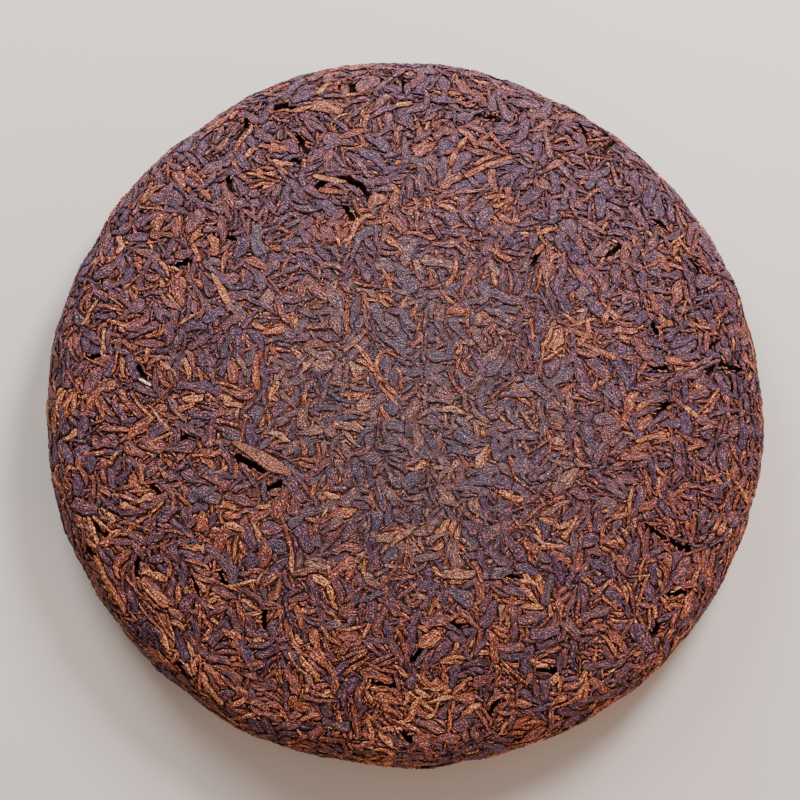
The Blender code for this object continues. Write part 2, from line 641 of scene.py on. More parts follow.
@dataclass
class Reading:
    """How a sort's strips are read on the bed, finely enough to miss no cell.

    Attributes:
        sort: the sort.
        template: its closed strip.
        spacing: widest gap between two fine places.
        along: matrix from stations to fine places along.
        across: matrix from upper corners to fine places across.
        gaps_along: distance of each station from each fine place, as a share of the length.
        gaps_across: distance of each upper corner from each fine place, in half widths.
        sides: fine places across, from 1 to -1.
    """

    sort: LeafSort
    template: StripTemplate
    spacing: float
    along: np.ndarray = field(init=False)
    across: np.ndarray = field(init=False)
    gaps_along: np.ndarray = field(init=False)
    gaps_across: np.ndarray = field(init=False)
    sides: np.ndarray = field(init=False)

    def __post_init__(self) -> None:
        """Make the matrices."""
        longest, widest = self.sort.lengths[1], self.sort.widths[1]
        stops = np.linspace(1.0, -1.0, math.ceil(longest / self.spacing) + 1)
        self.sides = np.linspace(1.0, -1.0, math.ceil(widest / self.spacing) + 2)
        self.along = self.matrix(stops, self.template.along)
        self.across = self.matrix(self.sides, self.template.across)
        self.gaps_along = np.abs(self.template.along[:, None] - stops[None, :]) / 2
        self.gaps_across = np.abs(self.template.across[:, None] - self.sides[None, :])

    @staticmethod
    def matrix(places: np.ndarray, knots: np.ndarray) -> np.ndarray:
        """Make a matrix that reads values given at falling knots at places between them.

        Args:
            places: where to read.
            knots: where the values are given, in falling order.

        Returns:
            The matrix, with a row for each place and a column for each knot.
        """
        low = np.clip(np.searchsorted(-knots, -places, side="right") - 1, 0, len(knots) - 2)
        share = (knots[low] - places) / (knots[low] - knots[low + 1])
        matrix = np.zeros((len(places), len(knots)))
        rows = np.arange(len(places))
        matrix[rows, low] = 1 - share
        matrix[rows, low + 1] = share
        return matrix


@dataclass
class Strip:
    """One leaf as laid: its rings of corners, and its cell of the flat map.

    Attributes:
        arcs: arc length of every corner.
        turns: turn of every corner.
        lifts: lift of every corner.
        row: its tone, which is the map's row.
        column: its pattern, which is the map's column.
    """

    arcs: np.ndarray
    turns: np.ndarray
    lifts: np.ndarray
    row: int
    column: int


@dataclass
class Batch:
    """Leaves of one sort, laid out flat over the skin before they are bedded.

    Attributes:
        sort: their sort.
        lengths: length of each leaf.
        widths: width of each leaf.
        arcs: arc length of each leaf's middle.
        turns: turn of each leaf's middle.
        outward: offsets of each ring's corners along the profile.
        around: offsets of each ring's corners around the axis.
        half: half width at each station.
        cells: the bed's cells under each leaf, at the fine places.
    """

    sort: LeafSort
    lengths: np.ndarray
    widths: np.ndarray
    arcs: np.ndarray
    turns: np.ndarray
    outward: np.ndarray
    around: np.ndarray
    half: np.ndarray
    cells: np.ndarray


@dataclass(frozen=True)
class Layer:
    """One pass over the cake.

    Attributes:
        underside: whether it lays the underside, or the face and rim.
        mix: the sorts it lays, each with its share.
        shows: least share of a leaf that has to show.
        open_share: share of open skin at which it stops.
    """

    underside: bool
    mix: tuple
    shows: float
    open_share: float


@dataclass(frozen=True)
class MarkedLeaf:
    """A leaf that stands out of the mat.

    Attributes:
        x: place of its middle along X.
        y: place of its middle along Y.
        heading: direction of its length from X, in degrees.
        length: its length.
        width: its width.
        row: its tone, 0 for the darkest.
    """

    x: float
    y: float
    heading: float
    length: float
    width: float
    row: int = 0


@dataclass(frozen=True)
class ToneDrift:
    """How the tone of leaf drifts over the cake. A shift above 0 is towards lighter tones.

    Attributes:
        patch: size of the shift in patches of light and dark leaf.
        across: shift for each metre along X.
        upward: shift for each metre along Y.
        rim: shift at the rim.
        rim_radii: radii between which it grows.
        overall: shift of every leaf.
        deeper: shift back for each millimetre that a leaf lies under the skin, which paints deeper
            leaves darker as shade.
        strength: how strongly a shift changes the shares of the tones.
        middle_row: the tone whose weight no shift changes.
    """

    patch: float = 1.1
    across: float = -8.0
    upward: float = -23.0
    rim: float = 0.7
    rim_radii: tuple = (55 * MM, 95 * MM)
    overall: float = -0.9
    deeper: float = 0.5
    strength: float = 0.2
    middle_row: float = 3.0


@dataclass
class LeafMat:
    """Lays strips of every sort over the bed, outermost first.

    Pairs that are read by looseness hold the value where leaf is pressed hard, and what full
    looseness adds to it.

    Attributes:
        form: the pressed form.
        bed: how far out the next leaf may lie.
        seed: seed of every draw.
        slope_pressed: how steeply a leaf may dip along its length where pressed hard.
        slope_loose: the same where loose.
        side_slope: how steeply it may dip to its sides.
        tilt: spread of its sideways tilt, by looseness.
        heave: spread of its unevenness along its length in millimetres, by looseness.
        sink: spread of how far it sinks below the free surface in millimetres, by looseness.
        thickness: share of its thickness that the press leaves, by looseness.
        crease: share of its furrows' depth that the press leaves, by looseness.
        usual_width: width for which a sort's rounding holds.
        wrap_radii: radii between which leaves start to wrap around the rim.
        wrap_heights: heights between which they do, under the rim.
        wrap_share: share of leaves that wrap around at the rim.
        wrap_spread: spread of their directions.
        drift_turn: how far the swaths turn, in half turns.
        drift_spread: spread of directions inside a swath.
        tones: how the tone drifts over the cake.
        middle: centre of the hard-pressed middle.
        middle_reach: its radius.
        middle_blend: spread of its ragged edge.
        size_skew: the beta distribution of sizes between their limits.
        crack_floor: weight of cracks where leaf isn't loose.
        most_cracked: share of a leaf that may lie over open cracks.
        reading_step: gap between fine places, in cells.
        candidates: directions tried at each place.
        sites: places tried together.
        patience: rounds with few leaves laid after which a pass gives up.
        poor_share: share of places laid under which a round counts as poor.
        strips: leaves laid so far, by sort and zone.
        readings: readings made so far, by sort.
        rng: source of the draws.
        drift: field of the swaths' directions.
        patches: field of light and dark patches.
    """

    form: CakeForm
    bed: PressBed
    seed: int = 2024
    slope_pressed: float = 2.4
    slope_loose: float = 0.9
    side_slope: float = 1.2
    tilt: tuple = (0.01, 0.12)
    heave: tuple = (0.01, 0.08)
    sink: tuple = (0.01, 0.05)
    thickness: tuple = (0.24, 0.42)
    crease: tuple = (0.12, 0.88)
    usual_width: float = 1.8 * MM
    wrap_radii: tuple = (84 * MM, 97 * MM)
    wrap_heights: tuple = (0.5 * MM, 4 * MM)
    wrap_share: float = 0.8
    wrap_spread: float = 0.38
    drift_turn: float = 0.9
    drift_spread: float = 0.7
    tones: ToneDrift = ToneDrift()
    middle: tuple = (0.0, -7 * MM)
    middle_reach: float = 40 * MM
    middle_blend: float = 15 * MM
    size_skew: tuple = (1.6, 2.6)
    crack_floor: float = 0.04
    most_cracked: float = 0.03
    reading_step: float = 0.95
    candidates: int = 3
    sites: int = 100
    patience: int = 10
    poor_share: float = 0.03
    strips: dict = field(default_factory=dict)
    readings: dict = field(default_factory=dict)
    rng: np.random.Generator = field(init=False)
    drift: tuple = field(init=False)
    patches: tuple = field(init=False)

    def __post_init__(self) -> None:
        """Start the random draws and the fields that vary over the cake."""
        self.rng = np.random.default_rng(self.seed)
        self.drift = self.field_waves(8, (28 * MM, 80 * MM))
        self.patches = self.field_waves(10, (10 * MM, 34 * MM))

    def field_waves(self, count: int, lengths: tuple) -> tuple:
        """Draw slow waves for a field that varies over the cake.

        Args:
            count: how many waves cross.
            lengths: limits of their lengths.

        Returns:
            Their wave vectors and phases.
        """
        turns = self.rng.uniform(0.0, math.tau, count)
        numbers = math.tau / self.rng.uniform(*lengths, count)
        tilts = self.rng.uniform(-0.5, 0.5, count)
        directions = np.stack([np.cos(turns), np.sin(turns), tilts], axis=1)
        return directions * numbers[:, None], self.rng.uniform(0.0, math.tau, count)

    @staticmethod
    def read_field(waves: tuple, points: np.ndarray) -> np.ndarray:
        """Value of a field at these points, about -1 to 1."""
        vectors, phases = waves
        return np.cos(points @ vectors.T + phases).sum(axis=-1) / math.sqrt(len(phases) / 2)

    def reading(self, sort: LeafSort) -> Reading:
        """Find a sort's reading, which is made once.

        Args:
            sort: the sort.

        Returns:
            Its matrices and its template.
        """
        if sort.name not in self.readings:
            template = StripTemplate(sort.stations, sort.corners)
            self.readings[sort.name] = Reading(
                sort, template, self.reading_step * self.bed.cell
            )
        return self.readings[sort.name]

    def headings(self, arcs: np.ndarray, turns: np.ndarray) -> np.ndarray:
        """Draw directions for leaves at these places, measured from the outward direction.

        Leaf drifts in swaths over the face, and wraps around at the rim.

        Args:
            arcs: arc lengths of their middles.
            turns: turns of their middles.

        Returns:
            The angle of each leaf's length.
        """
        points = self.form.place(arcs, turns, np.zeros_like(arcs))
        at_rim = smooth_step(*self.wrap_radii, np.hypot(points[:, 0], points[:, 1]))
        off_the_table = smooth_step(*self.wrap_heights, points[:, 2])
        at_rim *= np.where(arcs > self.form.length / 2, off_the_table, 1.0)
        wrapped = math.pi / 2 + self.rng.normal(0.0, self.wrap_spread, len(arcs))
        drift = math.pi * self.drift_turn * self.read_field(self.drift, points) - turns
        drift += self.rng.normal(0.0, self.drift_spread, len(arcs))
        return np.where(self.rng.random(len(arcs)) < self.wrap_share * at_rim, wrapped, drift)

    def outline(self, reading: Reading, lengths: np.ndarray, widths: np.ndarray) -> tuple:
        """Draw the leaves' centre lines and torn edges.

        Args:
            reading: the sort's reading.
            lengths: length of each leaf.
            widths: width of each leaf.

        Returns:
            Offsets along and across the heading of every ring's corners, and the half widths.
        """
        rng, sort, count = self.rng, reading.sort, len(lengths)
        along = reading.template.along[None, :]
        bend = rng.normal(0.0, sort.bend, (count, 1))
        sway = rng.normal(0.0, 0.7 * sort.bend, (count, 1))
        head, tail = rng.normal(0.0, sort.hook, (2, count, 1))
        ends = np.clip((np.abs(along) - 0.4) / 0.6, 0.0, 1.0) ** 2
        line = 0.5 * bend * along + sway * (along**2 - 0.33)
        line = line + ends * np.where(along > 0, head, tail)
        middle = 0.5 * (line[:, 1:] + line[:, :-1])
        steps = np.diff(along) * lengths[:, None] / 2
        start = np.zeros((count, 1))
        x = np.concatenate([start, np.cumsum(steps * np.cos(middle), axis=1)], axis=1)
        y = np.concatenate([start, np.cumsum(steps * np.sin(middle), axis=1)], axis=1)
        x -= x.mean(axis=1, keepdims=True)
        y -= y.mean(axis=1, keepdims=True)
        power = np.where(along > 0, *rng.uniform(*sort.blunt, (2, count, 1)))
        taper = np.clip(1 - np.abs(along) ** power, 0.0, 1.0) ** 0.5
        lean = np.clip(1 + 0.25 * rng.normal(size=(count, 1)) * along, 0.5, 1.5)
        tears = self.evened(rng.normal(0.0, sort.ragged, (2, count, len(along[0]))))
        edges = np.clip(1.0 + tears, 0.4, 1.6)
        edges = 0.5 * widths[None, :, None] * (taper * lean)[None] * edges
        edges[..., 0] = 0.0
        edges[..., -1] = 0.0
        across = np.append(reading.template.across, 0.0)
        side = across * np.where(across > 0, edges[0][..., None], edges[1][..., None])
        slant = rng.uniform(-0.8, 0.8, (2, count, 1)) * edges[0][:, [1]][None]
        side[:, 0] += slant[0]
        side[:, -1] += slant[1]
        offset_x = x[..., None] - side * np.sin(line)[..., None]
        offset_y = y[..., None] + side * np.cos(line)[..., None]
        return offset_x, offset_y, edges.mean(axis=0)

    @staticmethod
    def evened(draws: np.ndarray) -> np.ndarray:
        """Blend random draws with their neighbours on the last axis, and keep their spread."""
        ends = np.concatenate([draws[..., :1], draws, draws[..., -1:]], axis=-1)
        return (0.5 * ends[..., :-2] + draws + 0.5 * ends[..., 2:]) / math.sqrt(1.5)

    def lay_out(
        self, sort: LeafSort, places: tuple, headings: np.ndarray, sizes: tuple
    ) -> Batch:
        """Lay leaves out flat over the skin.

        Args:
            sort: their sort.
            places: arc lengths and turns of their middles.
            headings: angle of each leaf's length from the outward direction.
            sizes: lengths and widths.

        Returns:
            The batch.
        """
        reading = self.reading(sort)
        x, y, half = self.outline(reading, *sizes)
        cos, sin = np.cos(headings)[:, None, None], np.sin(headings)[:, None, None]
        outward, around = x * cos - y * sin, x * sin + y * cos
        arcs, turns = places
        fine_outward = reading.along @ outward[..., :-1] @ reading.across.T
        fine_around = reading.along @ around[..., :-1] @ reading.across.T
        start = arcs[:, None, None], turns[:, None, None]
        cells = self.bed.cells(*self.bed.spread(*start, fine_outward, fine_around))
        return Batch(sort, *sizes, arcs, turns, outward, around, half, cells)

    def showing(self, batch: Batch, leaves: np.ndarray) -> np.ndarray:
        """Find how much of these leaves' area nothing covers yet.

        Args:
            batch: the batch that they were laid out in.
            leaves: their numbers there.

        Returns:
            The free share of each.
        """
        weight = batch.half[leaves] @ self.reading(batch.sort).along.T
        free = (~self.bed.covered[batch.cells[leaves]]).mean(axis=-1)
        return (free * weight).sum(axis=-1) / weight.sum(axis=-1)

    def press(self, batch: Batch, leaf: int, sink: float, row: int = -1) -> None:
        """Bed a leaf under what lies there already, and lower the ceiling beneath it.

        Args:
            batch: the batch that it was laid out in.
            leaf: its number there.
            sink: how far under the free surface it lies.
            row: its tone, or -1 to draw one.
        """
        reading, sort = self.reading(batch.sort), batch.sort
        side, along = reading.template.across, reading.template.along
        cells, half = batch.cells[leaf], batch.half[leaf]
        width, length = batch.widths[leaf], batch.lengths[leaf]
        loose = float(self.form.looseness(batch.arcs[leaf]))
        fullness = np.clip(half / (0.5 * width), 0.0, 1.0)[:, None]
        slope = self.slope_pressed + (self.slope_loose - self.slope_pressed) * loose
        reach = slope * length * reading.gaps_along
        across = self.side_slope * half[:, None, None] * reading.gaps_across
        top = (self.bed.ceiling[cells][None] + reach[:, :, None]).min(axis=1)
        top = (top[:, None, :] + across).min(axis=2)
        tilt = self.rng.normal(0.0, grown(self.tilt, loose))
        top += (tilt * side - abs(tilt)) * half[:, None] - sink
        rounding = sort.rounding_pressed + (sort.rounding_loose - sort.rounding_pressed) * loose
        rounding *= min(1.2, width / self.usual_width) * self.rng.uniform(0.7, 1.4)
        arch = 1 - np.sqrt(np.clip(1 - side**4, 0.0, 1.0))
        tips = smooth_step(0.8, 1.0, np.abs(along))[:, None]
        upper = top - rounding * np.maximum(arch, tips) * (0.4 + 0.6 * fullness)
        upper -= self.furrows(side, along, sort.crease * grown(self.crease, loose)) * fullness
        heave = self.rng.normal(0.0, grown(self.heave, loose) * MM, len(along))
        heave = self.evened(heave)
        upper -= np.abs(heave)[:, None]
        thick = sort.thickness * grown(self.thickness, loose) * fullness
        lower = upper.min(axis=1, keepdims=True) - thick
        lifts = np.concatenate([upper, lower], axis=1)
        belly = 0.3 + 0.7 * np.sqrt(np.clip(1 - reading.sides**2, 0.0, 1.0))
        beneath = reading.along @ upper @ reading.across.T
        beneath -= (reading.along @ thick) * belly
        wide_enough = (reading.along @ fullness)[:, 0] > 0.2
        under = cells[wide_enough]
        np.minimum.at(self.bed.ceiling, under, beneath[wide_enough])
        self.bed.covered[under] = True
        self.keep(batch, leaf, lifts, row)

    def furrows(self, side: np.ndarray, along: np.ndarray, depth: float) -> np.ndarray:
        """Draw the twisted furrows and the crumple of one leaf.

        Args:
            side: places across.
            along: places along.
            depth: greatest depth.

        Returns:
            How far each ring's upper corners sink.
        """
        count, twist, phase = self.rng.uniform((0.8, -2.0, 0.0), (2.3, 2.0, 2.0))
        wave = np.cos(math.pi * (count * side[None, :] + twist * along[:, None] + phase))
        crumple = self.evened(self.rng.normal(0.0, 0.5, (len(side), len(along)))).T
        return depth * (0.5 + 0.5 * wave + crumple)

    def keep(self, batch: Batch, leaf: int, lifts: np.ndarray, row: int) -> None:
        """Keep a bedded leaf with others of its sort and side, and draw its tone.

        Args:
            batch: the batch that it was laid out in.
            leaf: its number there.
            lifts: lift of every ring's corners.
            row: its tone, or -1 to draw one.
        """
        start = batch.arcs[leaf], batch.turns[leaf]
        arcs, turns = self.bed.spread(*start, batch.outward[leaf], batch.around[leaf])
        if row < 0:
            point = self.form.place(*start, np.array(0.0))
            # The depth darkens the tone as painted shade.
            depth = max(0.0, -float(lifts[len(lifts) // 2].max()))
            row = self.tone(batch.sort, point, depth)
        zone = self.zone(batch.sort, *start)
        strip = Strip(arcs, turns, lifts, row, int(self.rng.integers(ATLAS)))
        self.strips.setdefault((batch.sort.name, zone), []).append(strip)

    def zone(self, sort: LeafSort, arc: float, turn: float) -> Zone:
        """Choose the zone whose finish a leaf takes. Zones meet at a ragged edge.

        Args:
            sort: the leaf's sort.
            arc: arc length of its middle.
            turn: turn of its middle.

        Returns:
            The zone.
        """
        if arc > self.form.length * UNDERSIDE_FROM:
            return Zone.UNDERSIDE
        radius = float(self.form.ring_radius(arc))
        across = radius * math.cos(turn) - self.middle[0]
        along = radius * math.sin(turn) - self.middle[1]
        reach = math.hypot(across, along) + self.rng.normal(0.0, self.middle_blend)
        return Zone.MIDDLE if sort.takes_imprint and reach < self.middle_reach else Zone.FACE

    def tone(self, sort: LeafSort, point: np.ndarray, depth: float) -> int:
        """Draw a leaf's tone from its sort's shares, by where it lies and how deep; a deeper leaf
        takes darker tones as painted shade.

        Args:
            sort: the leaf's sort.
            point: where its middle lies.
            depth: how far it lies under the skin.

        Returns:
            The tone's row.
        """
        tones = self.tones
        patch = float(self.read_field(self.patches, point))
        rim = float(smooth_step(*tones.rim_radii, np.hypot(point[0], point[1])))
        shift = tones.patch * patch + tones.upward * point[1] + tones.across * point[0]
        shift = shift + tones.rim * rim + tones.overall
        shift -= tones.deeper * depth / MM
        rows = np.arange(len(sort.tones))
        changes = np.exp(tones.strength * shift * (rows - tones.middle_row))
        weights = np.cumsum(np.array(sort.tones) * changes)
        return int(np.searchsorted(weights, self.rng.random() * weights[-1]))

    def lay(self, layer: Layer) -> int:
        """Lay one pass of leaves wherever the skin is still open.

        Args:
            layer: the pass.

        Returns:
            How many leaves it laid.
        """
        sorts = [sort for sort, _ in layer.mix]
        shares = np.cumsum([share for _, share in layer.mix])
        on_side = (self.bed.arcs > self.form.length * UNDERSIDE_FROM) == layer.underside
        total, poor, laid = int(on_side.sum()), 0, 0
        while poor < self.patience:
            open_cells = np.flatnonzero(~self.bed.covered & on_side)
            if len(open_cells) < layer.open_share * total:
                break
            sort = sorts[int(np.searchsorted(shares, self.rng.random() * shares[-1]))]
            sites = min(self.sites, len(open_cells))
            picked = self.rng.choice(open_cells, sites, replace=False)
            now = self.lay_sites(sort, picked, layer.shows)
            laid += now
            poor += now < self.poor_share * sites
        return laid

    def lay_sites(self, sort: LeafSort, cells: np.ndarray, shows: float) -> int:
        """Try to lay a leaf over each of these cells, the way that it shows most.

        Args:
            sort: the sort to lay.
            cells: the cells.
            shows: least share of a leaf that has to show.

        Returns:
            How many leaves it laid.
        """
        tries = np.repeat(cells, self.candidates)
        lengths = self.draw(sort.lengths, len(cells))
        widths = self.draw(sort.widths, len(cells))
        sizes = np.repeat(lengths, self.candidates), np.repeat(widths, self.candidates)
        places = self.bed.arcs[tries], self.bed.turns[tries]
        batch = self.lay_out(sort, places, self.headings(*places), sizes)
        shares = self.showing(batch, np.arange(len(tries))).reshape(-1, self.candidates)
        best = shares.argmax(axis=1) + np.arange(len(cells)) * self.candidates
        laid = 0
        for leaf in best[shares.max(axis=1) >= shows]:
            if self.showing(batch, leaf) < shows:
                continue
            if self.bed.cracked[batch.cells[leaf]].mean() > self.most_cracked:
                continue
            loose = float(self.form.looseness(batch.arcs[leaf]))
            sink = abs(self.rng.normal(0.0, grown(self.sink, loose) * MM))
            self.press(batch, leaf, sink)
            laid += 1
        return laid

    def draw(self, limits: tuple, count: int) -> np.ndarray:
        """Draw sizes between limits, more of them small than large."""
        return limits[0] + (limits[1] - limits[0]) * self.rng.beta(*self.size_skew, count)

    def lay_marked(self, sort: LeafSort, leaves: tuple) -> None:
        """Lay the leaves that stand out, before any others.

        Args:
            sort: the sort that they are made as.
            leaves: the marked leaves.
        """
        for leaf in leaves:
            self.press(self.marked_batch(sort, leaf), 0, 0.0, leaf.row)

    def open_cracks(self, sort: LeafSort, cracks: tuple) -> None:
        """Keep the places of open cracks free of leaves.

        Args:
            sort: the sort whose outline a crack takes.
            cracks: the cracks, each with its middle, heading and size.
        """
        for crack in cracks:
            self.open_crack(self.marked_batch(sort, crack), 0)

    def scatter_cracks(self, sort: LeafSort, count: int, lengths: tuple, widths: tuple) -> None:
        """Open cracks at random over the face, most of them where the mat is loose.

        Args:
            sort: the sort whose outline a crack takes.
            count: how many.
            lengths: limits of their lengths.
            widths: limits of their widths.
        """
        on_face = np.flatnonzero(self.bed.arcs < self.form.length * UNDERSIDE_FROM)
        weights = self.crack_floor + self.form.looseness(self.bed.arcs[on_face])
        cells = self.rng.choice(on_face, count, replace=False, p=weights / weights.sum())
        places = self.bed.arcs[cells], self.bed.turns[cells]
        sizes = self.draw(lengths, count), self.draw(widths, count)
        batch = self.lay_out(sort, places, self.headings(*places), sizes)
        for crack in range(count):
            self.open_crack(batch, crack)

    def open_crack(self, batch: Batch, crack: int) -> None:
        """Keep one crack's cells free, where no leaf lies there yet.

        Args:
            batch: the batch that it was laid out in.
            crack: its number there.
        """
        cells = np.unique(batch.cells[crack])
        cells = cells[~self.bed.covered[cells]]
        self.bed.cracked[cells] = True
        self.bed.covered[cells] = True

    def marked_batch(self, sort: LeafSort, leaf: MarkedLeaf) -> Batch:
        """Lay out one leaf, or one crack, at a place of its own.

        Args:
            sort: the sort that it is made as.
            leaf: its place, heading and size.

        Returns:
            A batch that holds only it.
        """
        turn = math.atan2(leaf.y, leaf.x)
        arc = self.form.arc_at(math.hypot(leaf.x, leaf.y))
        places = np.array([arc]), np.array([turn])
        sizes = np.array([leaf.length]), np.array([leaf.width])
        return self.lay_out(sort, places, np.array([math.radians(leaf.heading) - turn]), sizes)

    def mesh_arrays(self, sort: LeafSort, strips: list) -> tuple:
        """Join a sort's strips into one mesh's arrays.

        Args:
            sort: the sort.
            strips: its strips.

        Returns:
            Points, triangles and the flat map's corners.
        """
        template = self.reading(sort).template
        parts = ("arcs", "turns", "lifts")
        grids = [np.stack([getattr(strip, part) for strip in strips]) for part in parts]
        picked = [grid.reshape(len(strips), -1)[:, template.pick] for grid in grids]
        points = self.form.place(*picked)
        offsets = np.arange(len(strips))[:, None, None] * points.shape[1]
        triangles = (template.triangles[None] + offsets).reshape(-1, 3)
        cells = np.array([[strip.column, strip.row] for strip in strips], float)
        inner = CELL_MARGIN + (1 - 2 * CELL_MARGIN) * template.flat_map
        corners = (cells[:, None, None, :] + inner[None]) / ATLAS
        return points.reshape(-1, 3), triangles, corners.reshape(-1, 2)


def mesh_object(name: str, points: np.ndarray, triangles: np.ndarray) -> bpy.types.Object:
    """Make a smooth mesh object from joined arrays.

    Args:
        name: its name.
        points: its vertices.
        triangles: vertex numbers of its faces.

    Returns:
        The object, linked to the scene.
    """
    data = bpy.data.meshes.new(name)
    data.vertices.add(len(points))
    data.vertices.foreach_set("co", points.astype(np.float32).ravel())
    data.loops.add(triangles.size)
    data.loops.foreach_set("vertex_index", triangles.astype(np.int32).ravel())
    data.polygons.add(len(triangles))
    data.polygons.foreach_set("loop_start", np.arange(0, triangles.size, 3, dtype=np.int32))
    data.update(calc_edges=True)
    data.shade_smooth()
    piece = bpy.data.objects.new(name, data)
    bpy.context.scene.collection.objects.link(piece)
    return piece


def give_map(piece: bpy.types.Object, corners: np.ndarray) -> None:
    """Give a piece the flat map that its pattern is read and baked through."""
    layer = piece.data.uv_layers.new(name=BAKE_MAP)
    layer.uv.foreach_set("vector", corners.astype(np.float32).ravel())


def dress(piece: bpy.types.Object, material: bpy.types.Material) -> None:
    """Give a piece its finish, and let it ride with the cake.

    Args:
        piece: the piece.
        material: its finish.
    """
    piece.data.materials.append(material)
    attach(piece, BODY)
    LOG.info("%s: %d faces", piece.name, len(piece.data.polygons))


def node(tree: bpy.types.NodeTree, kind: str, settings: dict, **inputs: object) -> bpy.types.Node:
    """Add a shader node with its settings and links.

    Args:
        tree: the material's node tree.
        kind: the node's type.
        settings: its properties.
        inputs: sockets by name, with spaces as underscores, or by number after an i. Each is a
            value, or an output to link.

    Returns:
        The node.
    """
    made = tree.nodes.new(kind)
    for key, value in settings.items():
        setattr(made, key, value)
    for key, value in inputs.items():
        place = int(key[1:]) if key[0] == "i" and key[1:].isdigit() else key.replace("_", " ")
        socket = made.inputs[place]
        if isinstance(value, bpy.types.NodeSocket):
            tree.links.new(value, socket)
        else:
            socket.default_value = value
    return made


